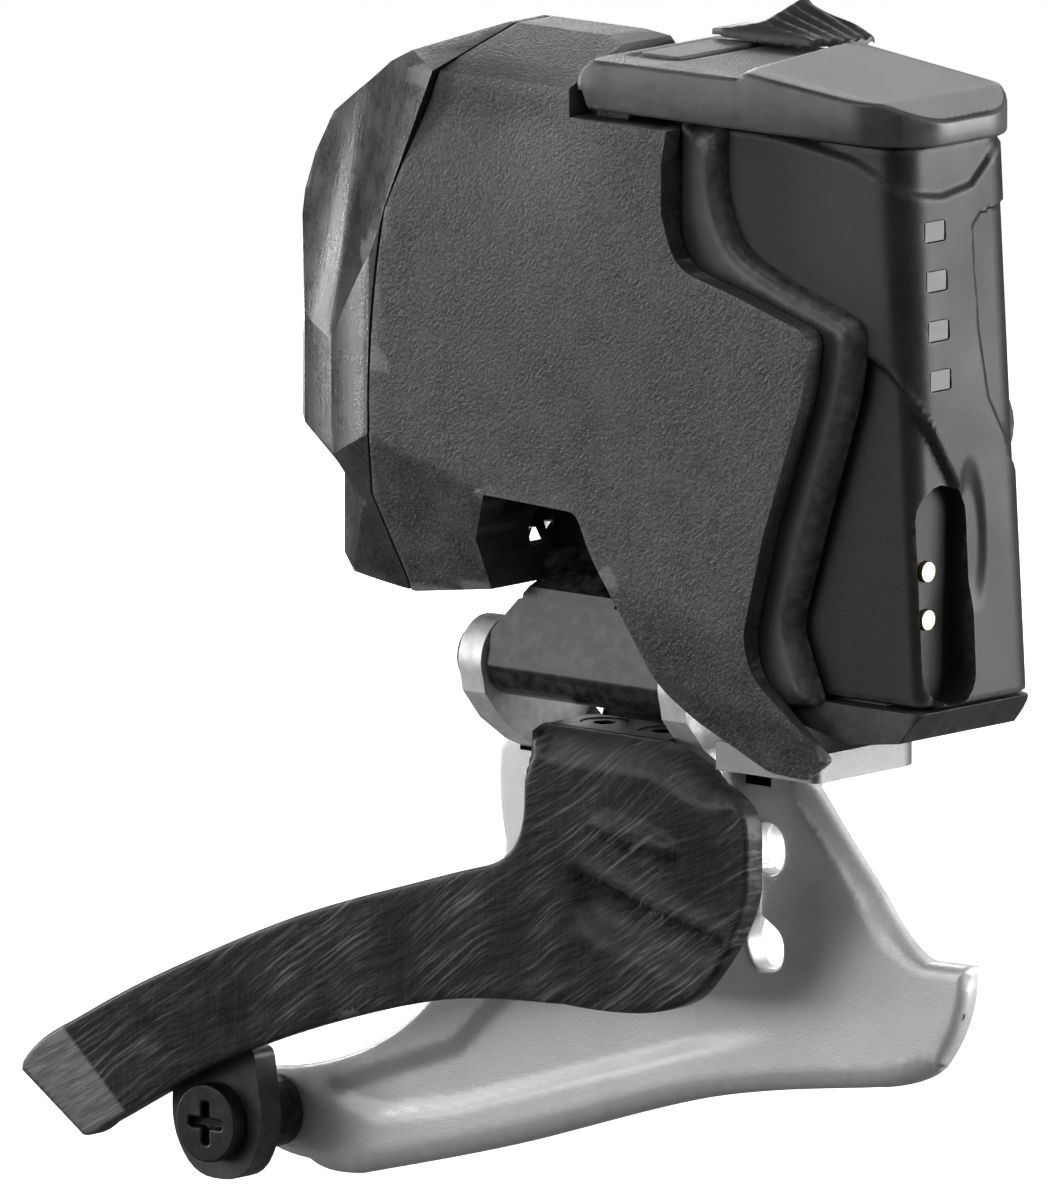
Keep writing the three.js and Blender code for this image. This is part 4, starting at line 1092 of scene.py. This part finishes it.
BLADE_THICKNESS = 2.5
BEND = 2.9  # outer radius where the blade turns over the chain
BLADE = curve_path([
    ("M", (0, -14.3)), ("L", (7.6, -19.5)), ("Q", (9.4, -19.4), (11, -18)),
    ("S", [(28.9, -8.7), (50.6, -1.8), (66.3, -0.2)]), ("Q", (79.6, -0.8), (82.8, 3)),
    ("Q", (88.2, 9), (88.5, 13)), ("L", (88.5, 17.5)), ("Q", (88.4, 21.4), (84, 22)),
    ("Q", (79, 24.9), (75.7, 24.9)), ("L", (61.9, 24.9)), ("L", (61.7, 17.5)),
    ("Q", (61.4, 12.9), (57.3, 11.6)), ("S", [(50.6, 9.6), (34, 4.1), (16.5, -3.6), (6.3, -9)]),
    ("Q", (1.6, -11.2), (0, -14.3)),
])
INNER = curve_path([
    ("M", (50, 11.6)), ("Q", (48.9, 16), (49.4, 20.4)), ("L", (51, 22.2)), ("L", (84.8, 22.2)),
    ("Q", (86, 20.4), (94.1, 11.3)), ("Q", (97.4, 6.6), (100, 6.1)), ("L", (104.9, 6.2)),
    ("Q", (105.2, 1), (101.3, -3.6)), ("Q", (98.4, -5.8), (92.9, -6.4)),
    ("S", [(73.6, -9.6), (49.5, -17), (31.4, -21.8)]), ("Q", (27.6, -22.4), (25.4, -21.2)),
    ("Q", (17.6, -20.8), (17.8, -16.6)), ("Q", (18.2, -12.8), (24, -12.4)),
    ("Q", (38, -10), (44, 0)), ("Q", (49.6, 6), (50, 11.6)),
])
INNER_FACE, INNER_BACK = 11.0, 13.5  # Y of the inner plate's two faces
EAR_BACK = 13.6  # Y behind which the ears reach below the bridge
BADGE_CENTRE = (74.9, 16.3)  # X, Z of the blank oval
BADGE_TILT = math.radians(-9)
BADGE_HALF_SIZE = (5.0, 1.15)
BADGE_HEIGHT = 0.3
RIDGE = [(66, 12.6), (69, 12.5), (77, 10.2), (85.4, 8.3), (88.5, 7.2)]
BRIDGE_SCREW_Y = 7.0


def blade_rim(x, z):
    top = float(ease(x, 61.0, 62.6)) * float(ease(z, 20.0, 23.0))
    return 0.45 + (BEND - 0.45) * top


def badge(x, z):
    """Height of the raised oval field."""
    u, v = x - BADGE_CENTRE[0], z - BADGE_CENTRE[1]
    across = u * math.cos(BADGE_TILT) + v * math.sin(BADGE_TILT)
    up = -u * math.sin(BADGE_TILT) + v * math.cos(BADGE_TILT)
    oval = (across / BADGE_HALF_SIZE[0]) ** 2 + (up / BADGE_HALF_SIZE[1]) ** 2
    return BADGE_HEIGHT * ease(1.25 - oval, 0.0, 0.5)


def blade_rib(x, z):
    """Inward shift of the hollow under the rib that runs forward and down, and of the rib."""
    ridge = at(x, RIDGE)
    below = ease(ridge - z, -0.3, 1.1) * (1 - ease(ridge - z, 2.5, 6.5))
    above = np.exp(-((z - ridge - 0.4) / 0.8) ** 2)
    return ease(x, 66.5, 70.5) * ease(89 - x, 0.3, 6) * (0.75 * below - 0.2 * above)


def tail_shape(x, z):
    """Bevelled cut at the very end of the tail, which also bows inboard a little."""
    (x0, z0), (x1, z1) = BLADE[:2]
    gap = ((x - x0) * (z0 - z1) + (z - z0) * (x1 - x0)) / math.hypot(x1 - x0, z1 - z0)
    return 0.5 * np.clip(1 - gap / 1.1, 0, 1) + 0.32 * ease(30 - x, 0, 30)


def blade_front(x, z):
    return np.clip(blade_rib(x, z) + tail_shape(x, z) - badge(x, z), -0.5, 2)


def outer_plate():
    blade = relief("outer_plate_blade", BLADE, [], blade_front, flat_face(BLADE_THICKNESS), blade_rim,
                   0.65, 0.5)
    flange_plan = [(62.2, 2.6), (76.2, 2.6), (75.7, 9.6, 1), (61.9, 9.6, 2)]
    flange = prism(rounded(flange_plan, 0), "z", 22.5, 24.9)
    for x in (65.5, 72.5):
        for radius, low in ((1.4, 15), (2.25, 23.8)):
            cut(flange, disc((x, BRIDGE_SCREW_Y), radius, 24), "z", low, 30)
    round_edges(flange, 0.35)
    bake(flange)
    join(blade, flange)
    dress(blade, "cage", "carbon", "outer_cage_plate")


def inner_rim(x, z):
    lower = float(ease(0.2 * (x - 92) - 5.0 - z, 0, 1))
    front = float(ease(x, 100, 103.5)) * float(ease(5.6 - z, 0, 1.5))
    return 0.4 + 1.5 * max(lower, 0.35 * front)


BEVEL_LINE = np.array([p for p in INNER if p[0] > 83.5 and p[1] > 4.0])
LEAF_UPPER = [(28, -13.6), (36.1, -10.6), (43.8, -7.8), (47, -4.6), (60, 8), (90, 14)]
LEAF_LOWER = [(28, -13.9), (29.9, -15.2), (34.9, -16.1), (43.8, -14.2), (56.7, -10.2), (72, -5.5),
              (90, -1)]


def bevel_width(z):
    return 0.5 + 1.1 * ease(21.8 - z, 0, 2) * ease(z, 5.4, 8.5)


def inner_front(x, z):
    """The inner plate's outboard face, with a machined bevel along the upper front edge and a
    leaf-shaped hollow at the lower rear."""
    gap, _ = distance_to(np.stack([x, z], 1), BEVEL_LINE, closed=False)
    bevel = 0.85 * np.clip(bevel_width(z) - gap, 0, None)
    within = np.minimum(at(x, LEAF_UPPER) - z, z - at(x, LEAF_LOWER))
    leaf = 0.65 * ease(within, 0.0, 1.0) * ease(84 - x, 0, 16)
    return INNER_FACE + bevel + leaf


def on_bevel(centre, normal):
    x, y, z = centre
    if x < 84 or z < 4 or z > 22 or not 11.05 < y < 13.2:
        return False
    gap, _ = distance_to(np.array([[x, z]]), BEVEL_LINE, closed=False)
    return gap[0] < bevel_width(z) - 0.05


def bridge_and_ears():
    """The bridge, the ears and the pivot boss of the CAD plate."""
    cad = from_cad("inner_cage_plate", "ears")
    keep = prism(rectangle((51.9, 82), (20.2, 40)), "y", 0, 40)
    for x_range in ((51.9, 55.0), (75.8, 83)):
        combine(keep, prism(rectangle(x_range, (8, 40)), "y", EAR_BACK, 40), "UNION")
    combine(cad, keep, "INTERSECT")
    round_edges(cad, 0.4, 3, 28)
    bake(cad)
    return cad


def inner_plate():
    window = [(79.7, 12.8), (80.6, 12.8), (80.6, 8.2), (83.4, 6.6, 1.4), (83.2, 3.6, 1.2),
              (80.0, 3.2, 1), (78.8, 5.6, 1), (79.7, 8.2)]
    holes = [obround((81.5, 14.5), 1.9, 2.3), rounded(window, 0.2)]
    plate = relief("inner_plate_blade", INNER, holes, inner_front, flat_face(INNER_BACK), inner_rim,
                   0.75, 0.55)
    join(plate, bridge_and_ears())
    smooth(plate, 40)
    dress(plate, "cage", "blasted_aluminium", "inner_cage_plate")
    add_tone(plate, "machined", on_bevel)


# ---- remaining CAD nodes ----

def finish_frame_nodes():
    slots = {row["node"]: row["material_slot"] for row in frame["record"]["subparts"]}
    for name, node in frame["nodes"].items():
        if node.hide_render:
            continue
        node.data.materials.clear()
        node.data.materials.append(MATERIALS[slots[name]])
        add_bevel(node, 0.12, 2, 35)


# ---- stage ----

AZIMUTH, ELEVATION = math.radians(40.94), math.radians(9.8)
RIGHT = Vector((math.cos(AZIMUTH), math.sin(AZIMUTH), 0))
UP = Vector((-math.sin(AZIMUTH) * math.sin(ELEVATION), math.cos(AZIMUTH) * math.sin(ELEVATION),
             math.cos(ELEVATION)))
TOWARD = RIGHT.cross(UP)  # from the object to the camera
TARGET_MM = (46.77, 29.85, 30)  # centre of the view along RIGHT, UP and TOWARD
VIEW_HEIGHT = 107.73 * MM  # height of the view at the object
CAMERA_DISTANCE = 4.0
SENSOR_WIDTH = 36
STAGE_CENTRE = in_metres(60, 10, 35)


def put_at(thing, location, back):
    """Puts a camera or light at a location, with its back towards a direction."""
    thing.location = location
    thing.rotation_mode = "QUATERNION"
    thing.rotation_quaternion = (-back).to_track_quat("-Z", "Y")


def camera():
    data = bpy.data.cameras.new("camera")
    data.sensor_width = SENSOR_WIDTH
    data.lens = SENSOR_WIDTH * CAMERA_DISTANCE / VIEW_HEIGHT
    data.clip_start, data.clip_end = 0.1, 20
    thing = add_object("camera", data)
    target = Vector(ORIGIN)
    for direction, distance in zip((RIGHT, UP, TOWARD), TARGET_MM):
        target += direction * distance * MM
    put_at(thing, target + TOWARD * CAMERA_DISTANCE, TOWARD)
    bpy.context.scene.camera = thing


def softbox(name, azimuth, elevation, distance, width, height, energy):
    """Area light that points at the object; azimuth and elevation as for a view."""
    data = bpy.data.lights.new(name, "AREA")
    data.shape = "RECTANGLE"
    data.size, data.size_y = width, height
    data.energy = energy
    thing = add_object(name, data)
    a, e = math.radians(azimuth), math.radians(elevation)
    back = Vector((math.sin(a) * math.cos(e), -math.cos(a) * math.cos(e), math.sin(e)))
    put_at(thing, STAGE_CENTRE + back * distance, back)


def world_light():
    """A world that is pale to the camera and dim as a light source."""
    world = bpy.data.worlds.new("studio")
    bpy.context.scene.world = world
    world.use_nodes = True
    background = world.node_tree.nodes["Background"]
    background.inputs["Color"].default_value = (1, 1, 1, 1)
    path = world.node_tree.nodes.new("ShaderNodeLightPath")
    strength = world.node_tree.nodes.new("ShaderNodeMapRange")
    strength.inputs["To Min"].default_value = 0.16
    strength.inputs["To Max"].default_value = 0.93
    world.node_tree.links.new(path.outputs["Is Camera Ray"], strength.inputs["Value"])
    world.node_tree.links.new(strength.outputs["Result"], background.inputs["Strength"])


def pale_floor():
    """Floor material that is bright to the camera and darker as a reflector."""
    g = Graph("pale_floor")
    cloud = g.noise(3.0, 3)
    seen = g.add("ShaderNodeLightPath").outputs["Is Camera Ray"]
    colour = g.mix(seen, grey(0.12), g.mix(g.spread(cloud, 0.3, 0.7), grey(0.86), grey(0.9)))
    g.shader.inputs["Emission Color"].default_value = (1, 1, 1, 1)
    g.put(g.shader.inputs["Emission Strength"], g.math("MULTIPLY", seen, 0.75))
    rough = g.spread(cloud, 0.3, 0.7, 0.85, 0.95)
    return g.finish(colour, rough, 0.0, g.bump(g.noise(600, 2), 0.02 * MM))


def floor():
    low = in_metres(0, 0, -60).z
    reach = (-30, 30)  # metres
    mesh = bpy.data.meshes.new("floor")
    mesh.from_pydata([(x, y, low) for x, y in rectangle(reach, reach)], [], [(0, 1, 2, 3)])
    mesh.materials.append(pale_floor())
    add_object("floor", mesh)


def studio():
    bpy.context.scene.view_settings.view_transform = "Standard"
    world_light()
    softbox("top", 60, 80, 0.7, 0.5, 0.5, 0.45)
    softbox("left", -131, 4, 0.7, 0.16, 0.7, 2.0)
    softbox("strip", -72, 2, 0.7, 0.09, 0.7, 4.0)
    softbox("fill", -36, -8, 1.0, 0.8, 0.8, 5.4)
    softbox("back", 222, 32, 0.8, 0.7, 0.22, 0.8)
    softbox("front_right", 126, 2, 0.8, 0.55, 0.6, 10.5)
    softbox("key", -8, 34, 0.9, 0.45, 0.45, 1.2)
    floor()


# ---- build ----

cover_shell()
rear_cap_shell()
battery_frame_shell()
chassis_shell()
battery_shell()
lid_shell()
thumb_tab()
outer_plate()
inner_plate()
soft_copies()
finish_frame_nodes()
camera()
studio()
